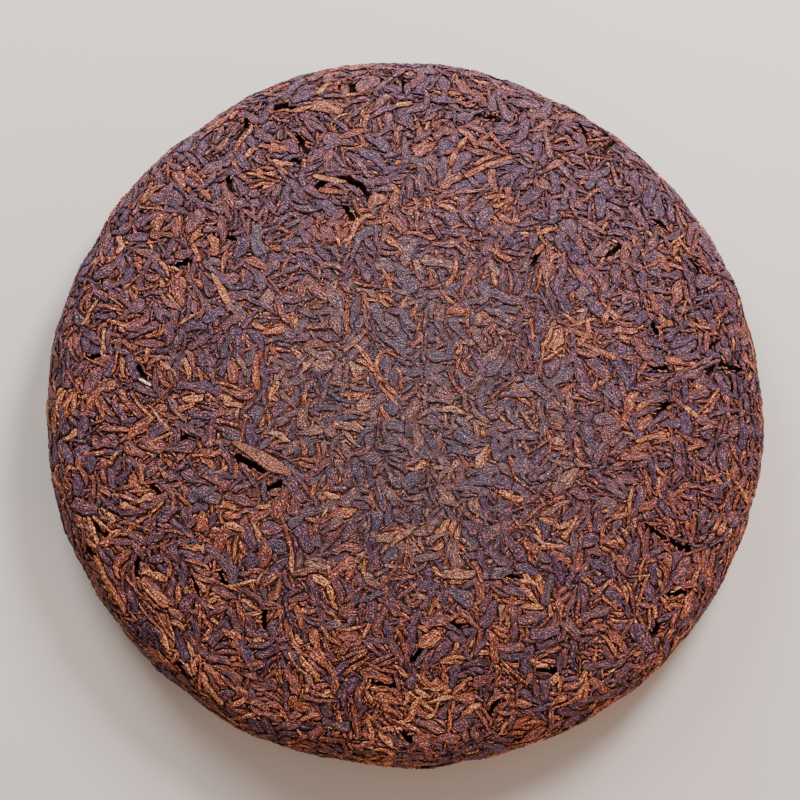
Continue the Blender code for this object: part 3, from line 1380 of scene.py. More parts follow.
@dataclass(frozen=True)
class LeafFinish:
    """Fermented tea leaf, twisted, steamed and pressed.

    To the eye the real leaf is dark and a little waxy, and it glints softly on its ridges. Its
    ridges are lighter than its furrows, partly as wear and partly as painted highlight, its
    furrows and edges are painted darker as shade, and fine dust lies in it. The tones run from
    violet-black leaf to golden buds, one for each row of the map.

    Patterns are sized along and around the leaf. Limits give where a pattern starts and ends,
    and the brightness there.

    Attributes:
        name: name of the material.
        length: usual length of the sort's leaves, so that patterns keep their real size.
        girth: usual way around them.
        dye: range of colours.
        roughness: how dull the leaf is.
        specular: how much it glints.
        wrinkle: size of a wrinkle.
        wrinkle_depth: its depth.
        grain: size of a grain.
        grain_depth: its depth.
        fibre: size of a bundle of fibres.
        fibre_depth: depth of the creases between them.
        blotch: size of a blotch.
        wrinkle_tone: how far wrinkles shift the tone, as a share of the range.
        grain_tone: how far the grain does.
        blotch_tone: how far blotches do.
        own_tone: how far each cell of the map does.
        pits: limits for the grain: painted shade in its pits, and its tops lighter, partly as wear
            and partly as painted highlight.
        furrows: limits for the wrinkles, which paint shade and highlight the same way.
        splits: limits for the creases between fibres, painted darker as shade.
        deepening: limits from dark to bright of the colour's power, which deepens and saturates
            the painted shade and pales the lighter places.
        edge: brightness at the edges, painted shade.
        edge_soft: how far the painted shade at the edge reaches in from the tips and from the
            sides.
        upper_share: share of the girth that lies on top.
        cell_jump: how far apart two cells of the map read their patterns.
    """

    name: str
    length: float
    girth: float
    dye: Dye = Dye.LEAF
    roughness: float = 0.52
    specular: float = 0.38
    wrinkle: tuple = (2.6 * MM, 0.46 * MM)
    wrinkle_depth: float = 0.24 * MM
    # The pores of real leaf are about a tenth of a millimetre, too fine to show at this distance.
    # The grain is drawn three to four times as coarse, so that the leaf looks as rough as it is.
    grain: tuple = (0.40 * MM, 0.34 * MM)
    grain_depth: float = 0.40 * MM
    fibre: tuple = (3.4 * MM, 0.80 * MM)
    fibre_depth: float = 0.24 * MM
    blotch: tuple = (1.3 * MM, 0.9 * MM)
    wrinkle_tone: float = 0.42
    grain_tone: float = 0.66
    blotch_tone: float = 0.32
    own_tone: float = 0.12
    pits: tuple = (0.35, 0.65, 0.26, 1.92)
    furrows: tuple = (0.38, 0.60, 0.66, 1.18)
    splits: tuple = (0.0, 0.16, 0.58, 1.06)
    deepening: tuple = (0.2, 1.8, 1.38, 0.92)
    edge: float = 0.95
    edge_soft: tuple = (0.05, 0.11)
    upper_share: float = 0.75
    cell_jump: tuple = (57.3, 91.1, 0.0)

    @classmethod
    def of_sort(cls, sort: LeafSort) -> "LeafFinish":
        """Fit the finish to a sort's usual size.

        Args:
            sort: the sort.

        Returns:
            Its finish.
        """
        # The usual size lies a little under the middle of its limits, because small leaves are
        # more common. A leaf is 2.3 times as far around as it is wide.
        length, width = 0.45 * sum(sort.lengths), 0.45 * sum(sort.widths)
        upper_share = (sort.corners - 2) / sort.corners
        even = 1 - sort.mottle
        return cls(
            sort.name,
            length,
            2.3 * width,
            dye=sort.dye,
            blotch_tone=sort.mottle * cls.blotch_tone,
            wrinkle_tone=sort.mottle * cls.wrinkle_tone,
            furrows=(*cls.furrows[:2], *(even + sort.mottle * end for end in cls.furrows[2:])),
            splits=(*cls.splits[:2], *(even + sort.mottle * end for end in cls.splits[2:])),
            upper_share=upper_share,
        )

    def imprinted(self) -> "LeafFinish":
        """Press the same leaf flat against the cloth: its edges close and lose their painted
        shade, and its face speckles.

        Returns:
            The pressed leaf's finish, which glints more.
        """
        return replace(
            self,
            name=f"pressed_{self.name}",
            dye=Dye.PRESSED,
            specular=0.48,
            edge=1.0,
            grain=(0.36 * MM, 0.34 * MM),
            grain_tone=0.80,
            blotch_tone=0.55,
            wrinkle_depth=0.20 * MM,
            fibre_depth=0.15 * MM,
            pits=(0.35, 0.65, 0.26, 1.62),
            furrows=(0.36, 0.62, 0.75, 1.05),
            splits=(0.0, 0.12, 0.62, 1.05),
        )

    def material(self) -> bpy.types.Material:
        """Build the finish as a material that reads the piece's flat map.

        Returns:
            The material.
        """
        material = bpy.data.materials.new(self.name)
        material.use_nodes = True
        tree = material.node_tree
        shader = tree.nodes["Principled BSDF"]
        place = node(tree, "ShaderNodeUVMap", {"uv_map": BAKE_MAP})
        scaled = node(
            tree,
            "ShaderNodeVectorMath",
            {"operation": "SCALE"},
            Vector=place.outputs["UV"],
            Scale=float(ATLAS),
        ).outputs["Vector"]
        cell = node(tree, "ShaderNodeVectorMath", {"operation": "FLOOR"}, Vector=scaled)
        cell = cell.outputs["Vector"]
        inner = node(tree, "ShaderNodeVectorMath", {"operation": "FRACTION"}, Vector=scaled)
        inner = inner.outputs["Vector"]
        chance = node(tree, "ShaderNodeTexWhiteNoise", {"noise_dimensions": "2D"}, Vector=cell)
        wrinkle = self.pattern(tree, cell, inner, self.wrinkle, 2.0)
        grain = self.pattern(tree, cell, inner, self.grain, 1.5)
        blotch = self.pattern(tree, cell, inner, self.blotch, 1.0)
        row = node(tree, "ShaderNodeSeparateXYZ", {}, Vector=cell)
        shade = node(
            tree,
            "ShaderNodeMath",
            {"operation": "MULTIPLY_ADD"},
            i0=row.outputs["Y"],
            i1=1.0 / ATLAS,
            i2=0.5 / ATLAS,
        ).outputs["Value"]
        shade = self.shifted(tree, shade, chance.outputs["Value"], self.own_tone)
        shade = self.shifted(tree, shade, blotch, 2 * self.blotch_tone)
        shade = self.shifted(tree, shade, wrinkle, 2 * self.wrinkle_tone)
        shade = self.shifted(tree, shade, grain, 2 * self.grain_tone)
        ramp = node(tree, "ShaderNodeValToRGB", {}, Fac=shade)
        self.fill_ramp(ramp)
        fibre = self.pattern(tree, cell, inner, self.fibre, None)
        patterns = (grain, self.pits), (wrinkle, self.furrows), (fibre, self.splits)
        # Painted shade in hollows and at edges, and lighter ridges, partly as wear and partly as
        # painted highlight.
        worn_and_shaded = self.worn_and_shaded(tree, inner, patterns)
        # The colour's power deepens and saturates the painted shade, and pales the lighter places.
        power = self.ranged(tree, worn_and_shaded, self.deepening)
        deep = node(tree, "ShaderNodeGamma", {}, Color=ramp.outputs["Color"], Gamma=power)
        settings = {"operation": "SCALE"}
        colour = node(
            tree, "ShaderNodeVectorMath", settings, Vector=deep.outputs["Color"], Scale=worn_and_shaded
        )
        tree.links.new(colour.outputs["Vector"], shader.inputs["Base Color"])
        shader.inputs["Roughness"].default_value = self.roughness
        shader.inputs["Specular IOR Level"].default_value = self.specular
        bump = node(
            tree, "ShaderNodeBump", {}, Strength=1.0, Distance=self.wrinkle_depth, Height=wrinkle
        )
        for height, depth in (fibre, self.fibre_depth), (grain, self.grain_depth):
            bump = node(
                tree,
                "ShaderNodeBump",
                {},
                Strength=1.0,
                Distance=depth,
                Height=height,
                Normal=bump.outputs["Normal"],
            )
        tree.links.new(bump.outputs["Normal"], shader.inputs["Normal"])
        return material

    def worn_and_shaded(
        self,
        tree: bpy.types.NodeTree,
        inner: bpy.types.NodeSocket,
        patterns: tuple,
    ) -> bpy.types.NodeSocket:
        """Brightness of the leaf: lighter ridges, partly wear and partly painted highlight, and
        painted shade in its hollows and at its edges.

        Args:
            tree: the material's node tree.
            inner: the place inside the cell.
            patterns: patterns of the surface, each with its limits.

        Returns:
            The factor for the colour.
        """
        place = node(tree, "ShaderNodeSeparateXYZ", {}, Vector=inner)
        # Painted shade: darker towards the tips, and towards the sides and underside of each leaf.
        spans = (
            (place.outputs["X"], 1.0, self.edge_soft[0], 0.5 + 0.5 * self.edge),
            (place.outputs["Y"], self.upper_share, self.edge_soft[1], self.edge),
        )
        factors = []
        for source, share, soft, dark in spans:
            span = node(
                tree,
                "ShaderNodeMapRange",
                {},
                Value=source,
                From_Min=CELL_MARGIN,
                From_Max=CELL_MARGIN + (1 - 2 * CELL_MARGIN) * share,
            ).outputs["Result"]
            settings = {"operation": "SUBTRACT"}
            rest = node(tree, "ShaderNodeMath", settings, i0=1.0, i1=span).outputs["Value"]
            settings = {"operation": "MULTIPLY"}
            hump = node(tree, "ShaderNodeMath", settings, i0=span, i1=rest).outputs["Value"]
            factors.append(self.ranged(tree, hump, (0.0, soft, dark, 1.0)))
        # Painted shade in pits, furrows and creases, and lighter grain tops and ridges, partly
        # wear and partly painted highlight.
        factors += [self.ranged(tree, source, limits) for source, limits in patterns]
        product = factors[0]
        for factor in factors[1:]:
            settings = {"operation": "MULTIPLY"}
            product = node(tree, "ShaderNodeMath", settings, i0=product, i1=factor)
            product = product.outputs["Value"]
        return product

    @staticmethod
    def ranged(
        tree: bpy.types.NodeTree, source: bpy.types.NodeSocket, limits: tuple
    ) -> bpy.types.NodeSocket:
        """Map a pattern between limits.

        Args:
            tree: the material's node tree.
            source: the pattern.
            limits: from low, from high, to low and to high.

        Returns:
            The mapped value.
        """
        names = ("From_Min", "From_Max", "To_Min", "To_Max")
        limits = dict(zip(names, limits))
        return node(tree, "ShaderNodeMapRange", {}, Value=source, **limits).outputs["Result"]

    def pattern(
        self,
        tree: bpy.types.NodeTree,
        cell: bpy.types.NodeSocket,
        inner: bpy.types.NodeSocket,
        sizes: tuple,
        detail: float | None,
    ) -> bpy.types.NodeSocket:
        """Add noise that differs from cell to cell of the map.

        Args:
            tree: the material's node tree.
            cell: the cell's number.
            inner: the place inside the cell.
            sizes: size of a feature along and around the leaf.
            detail: the noise's detail, or None for fibres with sharp creases between them.

        Returns:
            The pattern's value.
        """
        counts = (self.length / sizes[0], self.girth / sizes[1], 0.0)
        settings = {"operation": "MULTIPLY"}
        stretched = node(tree, "ShaderNodeVectorMath", settings, i0=inner, i1=counts)
        moved = node(
            tree,
            "ShaderNodeVectorMath",
            {"operation": "MULTIPLY_ADD"},
            i0=cell,
            i1=self.cell_jump,
            i2=stretched.outputs["Vector"],
        )
        if detail is None:
            return node(
                tree,
                "ShaderNodeTexVoronoi",
                {"voronoi_dimensions": "2D", "feature": "DISTANCE_TO_EDGE"},
                Vector=moved.outputs["Vector"],
                Scale=1.0,
            ).outputs["Distance"]
        return node(
            tree,
            "ShaderNodeTexNoise",
            {"noise_dimensions": "2D"},
            Vector=moved.outputs["Vector"],
            Scale=1.0,
            Detail=detail,
            Roughness=0.6,
        ).outputs["Fac"]

    @staticmethod
    def shifted(
        tree: bpy.types.NodeTree,
        shade: bpy.types.NodeSocket,
        source: bpy.types.NodeSocket,
        size: float,
    ) -> bpy.types.NodeSocket:
        """Shift the tone by a pattern's distance from its middle value.

        Args:
            tree: the material's node tree.
            shade: the tone so far.
            source: the pattern, 0 to 1.
            size: tone shift over the pattern's whole range.

        Returns:
            The shifted tone.
        """
        settings = {"operation": "SUBTRACT"}
        centred = node(tree, "ShaderNodeMath", settings, i0=source, i1=0.5).outputs["Value"]
        settings = {"operation": "MULTIPLY_ADD"}
        added = node(tree, "ShaderNodeMath", settings, i0=centred, i1=size, i2=shade)
        return added.outputs["Value"]

    def fill_ramp(self, ramp: bpy.types.Node) -> None:
        """Set the ramp's stops at the middles of the map's rows.

        Args:
            ramp: the ramp.
        """
        stops = ramp.color_ramp.elements
        tones = self.dye.value
        while len(stops) < len(tones):
            stops.new(0.5)
        for index, tone in enumerate(tones):
            stops[index].position = (index + 0.5) / len(tones)
            stops[index].color = linear(tone)


@dataclass(frozen=True)
class DustFinish:
    """Pressed leaf dust and broken leaf, which fills the gaps between the strips.

    To the eye the real dust is dull and dark, and pinkish brown where the press has rubbed it
    flat.
    Deep in the gaps it is painted nearly black as shade.

    Attributes:
        name: name of the material.
        dark: colour of the darkest crumbs, near black partly as painted shade in the gaps.
        light: colour of the lightest.
        pressed: colour of rubbed dust.
        stops: where the three colours lie on the ramp.
        grain: size of a crumb.
        depth: its depth.
        pressed_from: distance from the origin where rubbed dust starts.
        pressed_to: distance where it is at its most.
        pressed_shift: how far rubbing shifts the tone.
        shade_from: depth under the skin, in millimetres, where the painted shade in the gaps
            starts.
        shade_to: depth where the painted shade is darkest.
        shade_dark: brightness there.
        roughness: how dull the dust is.
        specular: how much it glints.
    """

    name: str = "leaf_dust"
    dark: str = "#2a0a07"
    light: str = "#5c382f"
    pressed: str = "#7c5a5a"
    stops: tuple = (0.35, 0.65, 0.90)
    grain: float = 0.5 * MM
    depth: float = 0.25 * MM
    pressed_from: float = 78 * MM
    pressed_to: float = 30 * MM
    pressed_shift: float = 0.22
    shade_from: float = 0.8
    shade_to: float = 2.0
    shade_dark: float = 0.32
    roughness: float = 0.85
    specular: float = 0.1

    def material(self) -> bpy.types.Material:
        """Build the finish on the object's own coordinates.

        Returns:
            The material.
        """
        material = bpy.data.materials.new(self.name)
        material.use_nodes = True
        tree = material.node_tree
        shader = tree.nodes["Principled BSDF"]
        place = node(tree, "ShaderNodeTexCoord", {})
        speck = node(
            tree,
            "ShaderNodeTexNoise",
            {},
            Vector=place.outputs["Object"],
            Scale=1 / self.grain,
            Detail=3.0,
            Roughness=0.6,
        ).outputs["Fac"]
        settings = {"operation": "LENGTH"}
        reach = node(tree, "ShaderNodeVectorMath", settings, Vector=place.outputs["Object"])
        pressed = node(
            tree,
            "ShaderNodeMapRange",
            {},
            Value=reach.outputs["Value"],
            From_Min=self.pressed_from,
            From_Max=self.pressed_to,
            To_Max=self.pressed_shift,
        ).outputs["Result"]
        shade = node(tree, "ShaderNodeMath", {"operation": "ADD"}, i0=speck, i1=pressed)
        ramp = node(tree, "ShaderNodeValToRGB", {}, Fac=shade.outputs["Value"])
        stops = ramp.color_ramp.elements
        stops.new(1.0)
        tones = (self.dark, self.light, self.pressed)
        for stop, spot, tone in zip(stops, self.stops, tones):
            stop.position = spot
            stop.color = linear(tone)
        # Painted shade: the dust darkens where the core lies deeper under the skin.
        sunk = node(tree, "ShaderNodeAttribute", {"attribute_name": SUNK})
        open_share = node(
            tree,
            "ShaderNodeMapRange",
            {},
            Value=sunk.outputs["Fac"],
            From_Min=self.shade_from,
            From_Max=self.shade_to,
            To_Min=1.0,
            To_Max=self.shade_dark,
        ).outputs["Result"]
        settings = {"operation": "SCALE"}
        colour = node(
            tree, "ShaderNodeVectorMath", settings, Vector=ramp.outputs["Color"], Scale=open_share
        )
        bump = node(tree, "ShaderNodeBump", {}, Strength=1.0, Distance=self.depth, Height=speck)
        tree.links.new(colour.outputs["Vector"], shader.inputs["Base Color"])
        tree.links.new(bump.outputs["Normal"], shader.inputs["Normal"])
        shader.inputs["Roughness"].default_value = self.roughness
        shader.inputs["Specular IOR Level"].default_value = self.specular
        return material


@dataclass
class Core:
    """The relief core under the strips, which closes every gap between them.

    Attributes:
        form: the pressed form.
        bed: the bed with every leaf laid.
        ring_step: gap between its rings.
        turn_steps: steps around the axis.
        highest_pressed: highest lift where leaf is pressed hard.
        highest_loose: highest lift where it is loose.
        lowest: lowest lift, which open cracks take.
        clear: gap under the lowest leaves.
        rough: spread of its roughness.
        look_along: how far along the profile it looks for low leaves.
        look_around: how far around it does.
        looks: places it looks at along and around.
        seed: seed of its roughness.
        weld: distance under which its seams weld.
    """

    form: CakeForm
    bed: PressBed
    ring_step: float = 1.0 * MM
    turn_steps: int = 400
    highest_pressed: float = -0.08 * MM
    highest_loose: float = -0.24 * MM
    lowest: float = -2.2 * MM
    clear: float = 0.06 * MM
    rough: float = 0.06 * MM
    look_along: float = 0.6 * MM
    look_around: float = 0.8 * MM
    looks: tuple = (4, 5)
    seed: int = 5
    weld: float = 0.001 * MM

    def build(self) -> bpy.types.Object:
        """Spin the profile into a closed skin, then sink it under the strips.

        Returns:
            The core, linked to the scene.
        """
        mesh = bmesh.new()
        layer = mesh.verts.layers.float.new("arc")
        rings = int(self.form.length / self.ring_step)
        corners = []
        for arc in np.linspace(0.0, self.form.length, rings + 1):
            point = self.form.place(np.array(arc), np.array(0.0), np.array(0.0))
            at_pole = arc in (0.0, self.form.length)
            corner = mesh.verts.new((0.0 if at_pole else point[0], 0.0, point[2]))
            corner[layer] = arc
            corners.append(corner)
        edges = [mesh.edges.new(pair) for pair in zip(corners, corners[1:])]
        bmesh.ops.spin(
            mesh,
            geom=corners + edges,
            cent=(0.0, 0.0, 0.0),
            axis=(0.0, 0.0, 1.0),
            angle=math.tau,
            steps=self.turn_steps,
            use_merge=True,
        )
        bmesh.ops.remove_doubles(mesh, verts=mesh.verts, dist=self.weld)
        bmesh.ops.recalc_face_normals(mesh, faces=mesh.faces)
        arcs = np.array([vertex[layer] for vertex in mesh.verts])
        turns = np.array([math.atan2(v.co.y, v.co.x) for v in mesh.verts])
        data = bpy.data.meshes.new("core")
        mesh.to_mesh(data)
        mesh.free()
        depths = self.depths(arcs, turns)
        points = self.form.place(arcs, turns, depths)
        data.vertices.foreach_set("co", points.astype(np.float32).ravel())
        sunk = data.attributes.new(SUNK, "FLOAT", "POINT")
        sunk.data.foreach_set("value", (-depths / MM).astype(np.float32))
        data.update()
        data.shade_smooth()
        core = bpy.data.objects.new("core", data)
        bpy.context.scene.collection.objects.link(core)
        return core

    def depths(self, arcs: np.ndarray, turns: np.ndarray) -> np.ndarray:
        """Find the core's lift: just under the lowest strips, and rough between them.

        Args:
            arcs: arc length of each vertex.
            turns: turn of each vertex.

        Returns:
            The lift of each, below 0.
        """
        radius = np.maximum(self.form.ring_radius(arcs), self.ring_step)
        free = np.zeros_like(arcs)
        cracked = np.zeros(len(arcs), bool)
        for along in np.linspace(-self.look_along, self.look_along, self.looks[0]):
            for around in np.linspace(-self.look_around, self.look_around, self.looks[1]):
                near = np.clip(arcs + along, 0.0, self.form.length)
                cells = self.bed.cells(near, turns + around / radius)
                free = np.minimum(free, self.bed.ceiling[cells])
                cracked |= self.bed.cracked[cells]
        rng = np.random.default_rng(self.seed)
        loose = self.form.looseness(arcs)
        highest = self.highest_pressed + (self.highest_loose - self.highest_pressed) * loose
        lift = np.clip(free - self.clear, self.lowest, highest)
        lift = np.where(cracked, self.lowest, lift)
        away_from_poles = (arcs > 0) * (arcs < arcs.max())
        return lift - np.abs(rng.normal(0.0, self.rough, len(arcs))) * away_from_poles


@dataclass(frozen=True)
class Lamp:
    """A soft square light that faces the cake.

    Attributes:
        name: its name.
        place: where it hangs.
        size: its edge.
        power: its power in watts.
        colour: its colour.
    """

    name: str
    place: tuple
    size: float
    power: float
    colour: tuple

    def hang(self) -> None:
        """Add the light to the scene."""
        data = bpy.data.lights.new(self.name, "AREA")
        data.shape = "SQUARE"
        data.size = self.size
        data.energy = self.power
        data.color = self.colour
        light = bpy.data.objects.new(self.name, data)
        light.location = self.place
        light.rotation_euler = Vector(self.place).to_track_quat("Z", "Y").to_euler()
        bpy.context.scene.collection.objects.link(light)


@dataclass
class Studio:
    """A pale floor, soft light, and the camera over the cake.

    Cool light comes from the upper right and left, and warm light from the lower right.

    Attributes:
        form: the pressed form.
        lamps: the lights.
        sky: colour of the light from all around.
        sky_strength: its strength.
        floor_size: edge of the floor.
        floor_gap: how far the floor lies under the cake, so that their faces don't coincide.
        floor_colour: its colour.
        floor_roughness: how dull it is.
        lens: the camera's focal length in millimetres.
        sensor: its sensor's width in millimetres.
        clip_start: nearest distance that it shows.
        distance: how far it is from where it aims.
        back: direction from there to the camera.
        aim: shift of its aim to the right and up in the view.
        aim_height: height of its aim, as a share of the cake's.
    """

    form: CakeForm
    lamps: tuple = (
        Lamp("key", (0.34, 0.60, 0.42), 0.25, 13.8, (1.0, 0.93, 0.94)),
        Lamp("fill", (-0.38, 0.72, 0.40), 0.40, 11.8, (1.0, 0.92, 0.92)),
        Lamp("bounce", (0.50, -0.58, 0.22), 0.50, 5.0, (1.0, 0.58, 0.38)),
    )
    sky: tuple = (1.0, 0.95, 0.93, 1.0)
    sky_strength: float = 0.31
    floor_size: float = 8.0
    floor_gap: float = 0.05 * MM
    floor_colour: str = "#cfcac4"
    floor_roughness: float = 0.9
    lens: float = 85.0
    sensor: float = 36.0
    clip_start: float = 0.01
    distance: float = 0.5237
    back: tuple = (-0.075, -0.130, 0.9887)
    aim: tuple = (-3.0 * MM, 1.5 * MM)
    aim_height: float = 0.6

    def build(self) -> None:
        """Make the floor, the lights and the camera."""
        self.floor()
        for lamp in self.lamps:
            lamp.hang()
        world = bpy.data.worlds.new("studio")
        world.use_nodes = True
        background = world.node_tree.nodes["Background"]
        background.inputs["Color"].default_value = self.sky
        background.inputs["Strength"].default_value = self.sky_strength
        bpy.context.scene.world = world
        self.camera()

    def floor(self) -> None:
        """Lay the pale floor under the cake."""
        mesh = bmesh.new()
        bmesh.ops.create_grid(mesh, x_segments=1, y_segments=1, size=self.floor_size / 2)
        bmesh.ops.translate(mesh, verts=mesh.verts, vec=(0.0, 0.0, -self.floor_gap))
        data = bpy.data.meshes.new("floor")
        mesh.to_mesh(data)
        mesh.free()
        floor = bpy.data.objects.new("floor", data)
        bpy.context.scene.collection.objects.link(floor)
        material = bpy.data.materials.new("pale_floor")
        material.use_nodes = True
        shader = material.node_tree.nodes["Principled BSDF"]
        shader.inputs["Base Color"].default_value = linear(self.floor_colour)
        shader.inputs["Roughness"].default_value = self.floor_roughness
        data.materials.append(material)

    def camera(self) -> None:
        """Look down on the domed face, a little from below and from the left."""
        back = Vector(self.back).normalized()
        right = Vector((0.0, 1.0, 0.0)).cross(back).normalized()
        up = back.cross(right)
        target = Vector((0.0, 0.0, self.aim_height * self.form.centre_height))
        target += right * self.aim[0] + up * self.aim[1]
        data = bpy.data.cameras.new("camera")
        data.lens = self.lens
        data.sensor_width = self.sensor
        data.clip_start = self.clip_start
        camera = bpy.data.objects.new("camera", data)
        turned = Matrix((right, up, back)).transposed().to_4x4()
        camera.matrix_world = Matrix.Translation(target + back * self.distance) @ turned
        bpy.context.scene.collection.objects.link(camera)
        bpy.context.scene.camera = camera


ROLLED = LeafSort(
    name="rolled_leaves",
    lengths=(4.5 * MM, 12 * MM),
    widths=(0.9 * MM, 2.2 * MM),
    thickness=0.45 * MM,
    stations=9,
    corners=8,
    bend=0.75,
    hook=0.75,
    ragged=0.34,
    crease=0.22 * MM,
    blunt=(1.2, 5.0),
    tones=(0.08, 0.23, 0.26, 0.19, 0.12, 0.08, 0.04, 0.005),
)
BROKEN = LeafSort(
    name="broken_leaves",
    lengths=(2.4 * MM, 6.5 * MM),
    widths=(0.8 * MM, 1.9 * MM),
    thickness=0.42 * MM,
    stations=6,
    corners=6,
    bend=0.6,
    hook=0.55,
    ragged=0.36,
    crease=0.18 * MM,
    blunt=(1.2, 5.0),
    tones=(0.08, 0.22, 0.25, 0.19, 0.12, 0.09, 0.05, 0.005),
)
BROAD = LeafSort(
    name="broad_leaves",
    lengths=(5.5 * MM, 12 * MM),
    widths=(1.9 * MM, 3.8 * MM),
    thickness=0.4 * MM,
    stations=8,
    corners=9,
    bend=0.25,
    hook=0.2,
    ragged=0.36,
    crease=0.28 * MM,
    blunt=(1.3, 6.0),
    tones=(0.22, 0.36, 0.24, 0.11, 0.05, 0.02, 0.0, 0.0),
)
STEMS = LeafSort(
    name="stems",
    lengths=(6 * MM, 15 * MM),
    widths=(0.6 * MM, 1.2 * MM),
    thickness=0.42 * MM,
    stations=9,
    corners=6,
    bend=0.5,
    hook=0.4,
    ragged=0.12,
    crease=0.08 * MM,
    blunt=(4.0, 12.0),
    tones=(0.03, 0.12, 0.18, 0.20, 0.19, 0.16, 0.09, 0.02),
    takes_imprint=False,
)
TIPS = LeafSort(
    name="golden_tips",
    lengths=(4.0 * MM, 10 * MM),
    widths=(1.0 * MM, 2.0 * MM),
    thickness=0.45 * MM,
    stations=8,
    corners=7,
    bend=0.6,
    hook=0.6,
    ragged=0.2,
    crease=0.24 * MM,
    blunt=(1.2, 3.0),
    tones=(0.0, 0.0, 0.02, 0.12, 0.28, 0.33, 0.20, 0.04),
    takes_imprint=False,
)
CRUMBS = LeafSort(
    name="crumbs",
    lengths=(1.2 * MM, 3.8 * MM),
    widths=(0.45 * MM, 1.0 * MM),
    thickness=0.4 * MM,
    stations=4,
    corners=5,
    bend=0.3,
    hook=0.2,
    ragged=0.25,
    crease=0.12 * MM,
    blunt=(1.6, 6.0),
    tones=(0.07, 0.18, 0.22, 0.20, 0.15, 0.11, 0.06, 0.01),
)
UNDER_LONG = replace(
    ROLLED,
    name="long_leaves",
    lengths=(6 * MM, 15 * MM),
    widths=(1.3 * MM, 3.0 * MM),
    stations=7,
    corners=7,
)
UNDER_SHORT = replace(
    BROKEN,
    name="short_leaves",
    lengths=(3 * MM, 7.5 * MM),
    widths=(1.0 * MM, 2.3 * MM),
    stations=5,
)
SPLINTER = replace(STEMS, name="pale_splinter", bend=0.1, hook=0.1, dye=Dye.PALE, mottle=0.2)
SLIVER = replace(
    STEMS,
    name="long_slivers",
    lengths=(9 * MM, 17 * MM),
    widths=(1.1 * MM, 2.2 * MM),
    bend=0.12,
    hook=0.2,
    mottle=0.6,
)
LANCE = replace(
    SLIVER,
    name="old_lance",
    lengths=(17 * MM, 19 * MM),
    widths=(3.4 * MM, 3.6 * MM),
    stations=14,
    corners=9,
    bend=0.05,
    hook=0.1,
    blunt=(1.6, 2.0),
    dye=Dye.DULL,
    mottle=0.3,
)
SORTS = (
    ROLLED,
    BROKEN,
    BROAD,
    STEMS,
    TIPS,
    CRUMBS,
    UNDER_LONG,
    UNDER_SHORT,
    SPLINTER,
    SLIVER,
    LANCE,
)

# Leaves that stand out of the mat, seen from above with the cake's top edge at +Y.
LANCES = (MarkedLeaf(-41.0 * MM, -15.7 * MM, -31, 18.9 * MM, 3.5 * MM, 3),)
SLIVERS = (
    MarkedLeaf(-6.2 * MM, 0.8 * MM, -46, 8.9 * MM, 1.1 * MM, 6),
    MarkedLeaf(-23.0 * MM, 62.2 * MM, -10, 10.0 * MM, 1.5 * MM, 6),
    MarkedLeaf(-22.0 * MM, 58.6 * MM, -4, 9.0 * MM, 1.6 * MM, 3),
    MarkedLeaf(-52.9 * MM, 31.0 * MM, -60, 10.7 * MM, 1.9 * MM, 6),
    MarkedLeaf(-42.5 * MM, 7.4 * MM, -89, 10.9 * MM, 1.9 * MM, 5),
    MarkedLeaf(21.3 * MM, 67.3 * MM, 26, 16.8 * MM, 1.6 * MM, 5),
    MarkedLeaf(51.0 * MM, 14.6 * MM, -22, 11.8 * MM, 1.6 * MM, 5),
    MarkedLeaf(-81.8 * MM, -49.8 * MM, -62, 18.7 * MM, 1.9 * MM, 5),
    MarkedLeaf(-54.1 * MM, -78.4 * MM, -55, 10.3 * MM, 1.7 * MM, 6),
)
CURLS = (
    MarkedLeaf(-66.3 * MM, 8.7 * MM, -52, 6.8 * MM, 1.1 * MM, 7),
    MarkedLeaf(-59.6 * MM, 0.5 * MM, -5, 6.4 * MM, 1.9 * MM, 6),
    MarkedLeaf(-54.6 * MM, 23.7 * MM, 20, 6.6 * MM, 3.6 * MM, 0),
    MarkedLeaf(-56.8 * MM, -3.7 * MM, -10, 9.0 * MM, 2.9 * MM, 1),
)
SPLINTERS = (MarkedLeaf(-72.5 * MM, 5.0 * MM, -29, 4.0 * MM, 0.8 * MM, 7),)

# Open cracks in the mat, which have no tone, and the limits of those that lie at random.
CRACKS = (
    MarkedLeaf(-44.0 * MM, -17.2 * MM, -31, 9.0 * MM, 0.6 * MM),
    MarkedLeaf(-19.5 * MM, 60.4 * MM, -8, 18.0 * MM, 0.6 * MM),
)
CRACK_COUNT = 60
CRACK_LENGTHS = (2.5 * MM, 8.0 * MM)
CRACK_WIDTHS = (0.05 * MM, 0.15 * MM)

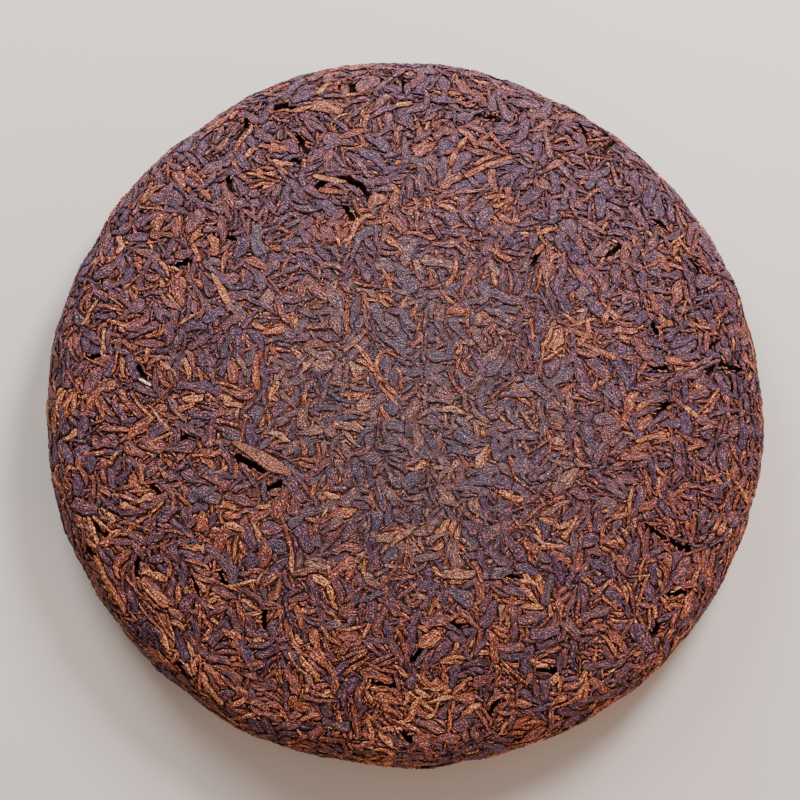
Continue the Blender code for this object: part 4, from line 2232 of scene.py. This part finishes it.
# The sorts that a pass lays, each with its share, and the passes in their order.
MAIN_MIX = ((ROLLED, 0.34), (BROKEN, 0.22), (BROAD, 0.26), (STEMS, 0.10), (TIPS, 0.08))
FINE_MIX = ((ROLLED, 0.25), (BROKEN, 0.55), (BROAD, 0.06), (STEMS, 0.08), (TIPS, 0.06))
UNDER_MIX = ((UNDER_LONG, 0.7), (UNDER_SHORT, 0.3))
LAYERS = (
    Layer(False, MAIN_MIX, 0.58, 0.36),
    Layer(False, MAIN_MIX, 0.46, 0.22),
    Layer(False, FINE_MIX, 0.36, 0.10),
    Layer(False, ((CRUMBS, 1.0),), 0.32, 0.015),
    Layer(True, UNDER_MIX, 0.65, 0.38),
    Layer(True, UNDER_MIX, 0.45, 0.20),
    Layer(True, ((UNDER_SHORT, 1.0),), 0.38, 0.08),
)


def main() -> None:
    """Build the tea cake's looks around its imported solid."""
    logging.basicConfig(level=logging.INFO, format="%(name)s: %(message)s")
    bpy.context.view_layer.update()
    form = CakeForm(radius=100 * MM, centre_height=25.5 * MM)
    bed = PressBed(form)
    mat = LeafMat(form, bed)
    mat.lay_marked(LANCE, LANCES)
    mat.lay_marked(SLIVER, SLIVERS)
    mat.lay_marked(ROLLED, CURLS)
    mat.lay_marked(SPLINTER, SPLINTERS)
    mat.open_cracks(STEMS, CRACKS)
    mat.scatter_cracks(STEMS, CRACK_COUNT, CRACK_LENGTHS, CRACK_WIDTHS)
    for layer in LAYERS:
        count = mat.lay(layer)
        LOG.info("layer of %d leaves, %.3f of the cake still open", count, (~bed.covered).mean())
    for sort in SORTS:
        finish = LeafFinish.of_sort(sort)
        for zone in Zone:
            strips = mat.strips.get((sort.name, zone), [])
            if not strips:
                continue
            points, triangles, corners = mat.mesh_arrays(sort, strips)
            piece = mesh_object(f"{zone.value}_{sort.name}", points, triangles)
            give_map(piece, corners)
            worn_and_shaded = finish.imprinted() if zone is Zone.MIDDLE else finish
            dress(piece, worn_and_shaded.material())
    core = Core(form, bed).build()
    dress(core, DustFinish().material())
    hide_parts(NODE)
    Studio(form).build()


if __name__ == "__main__":
    main()
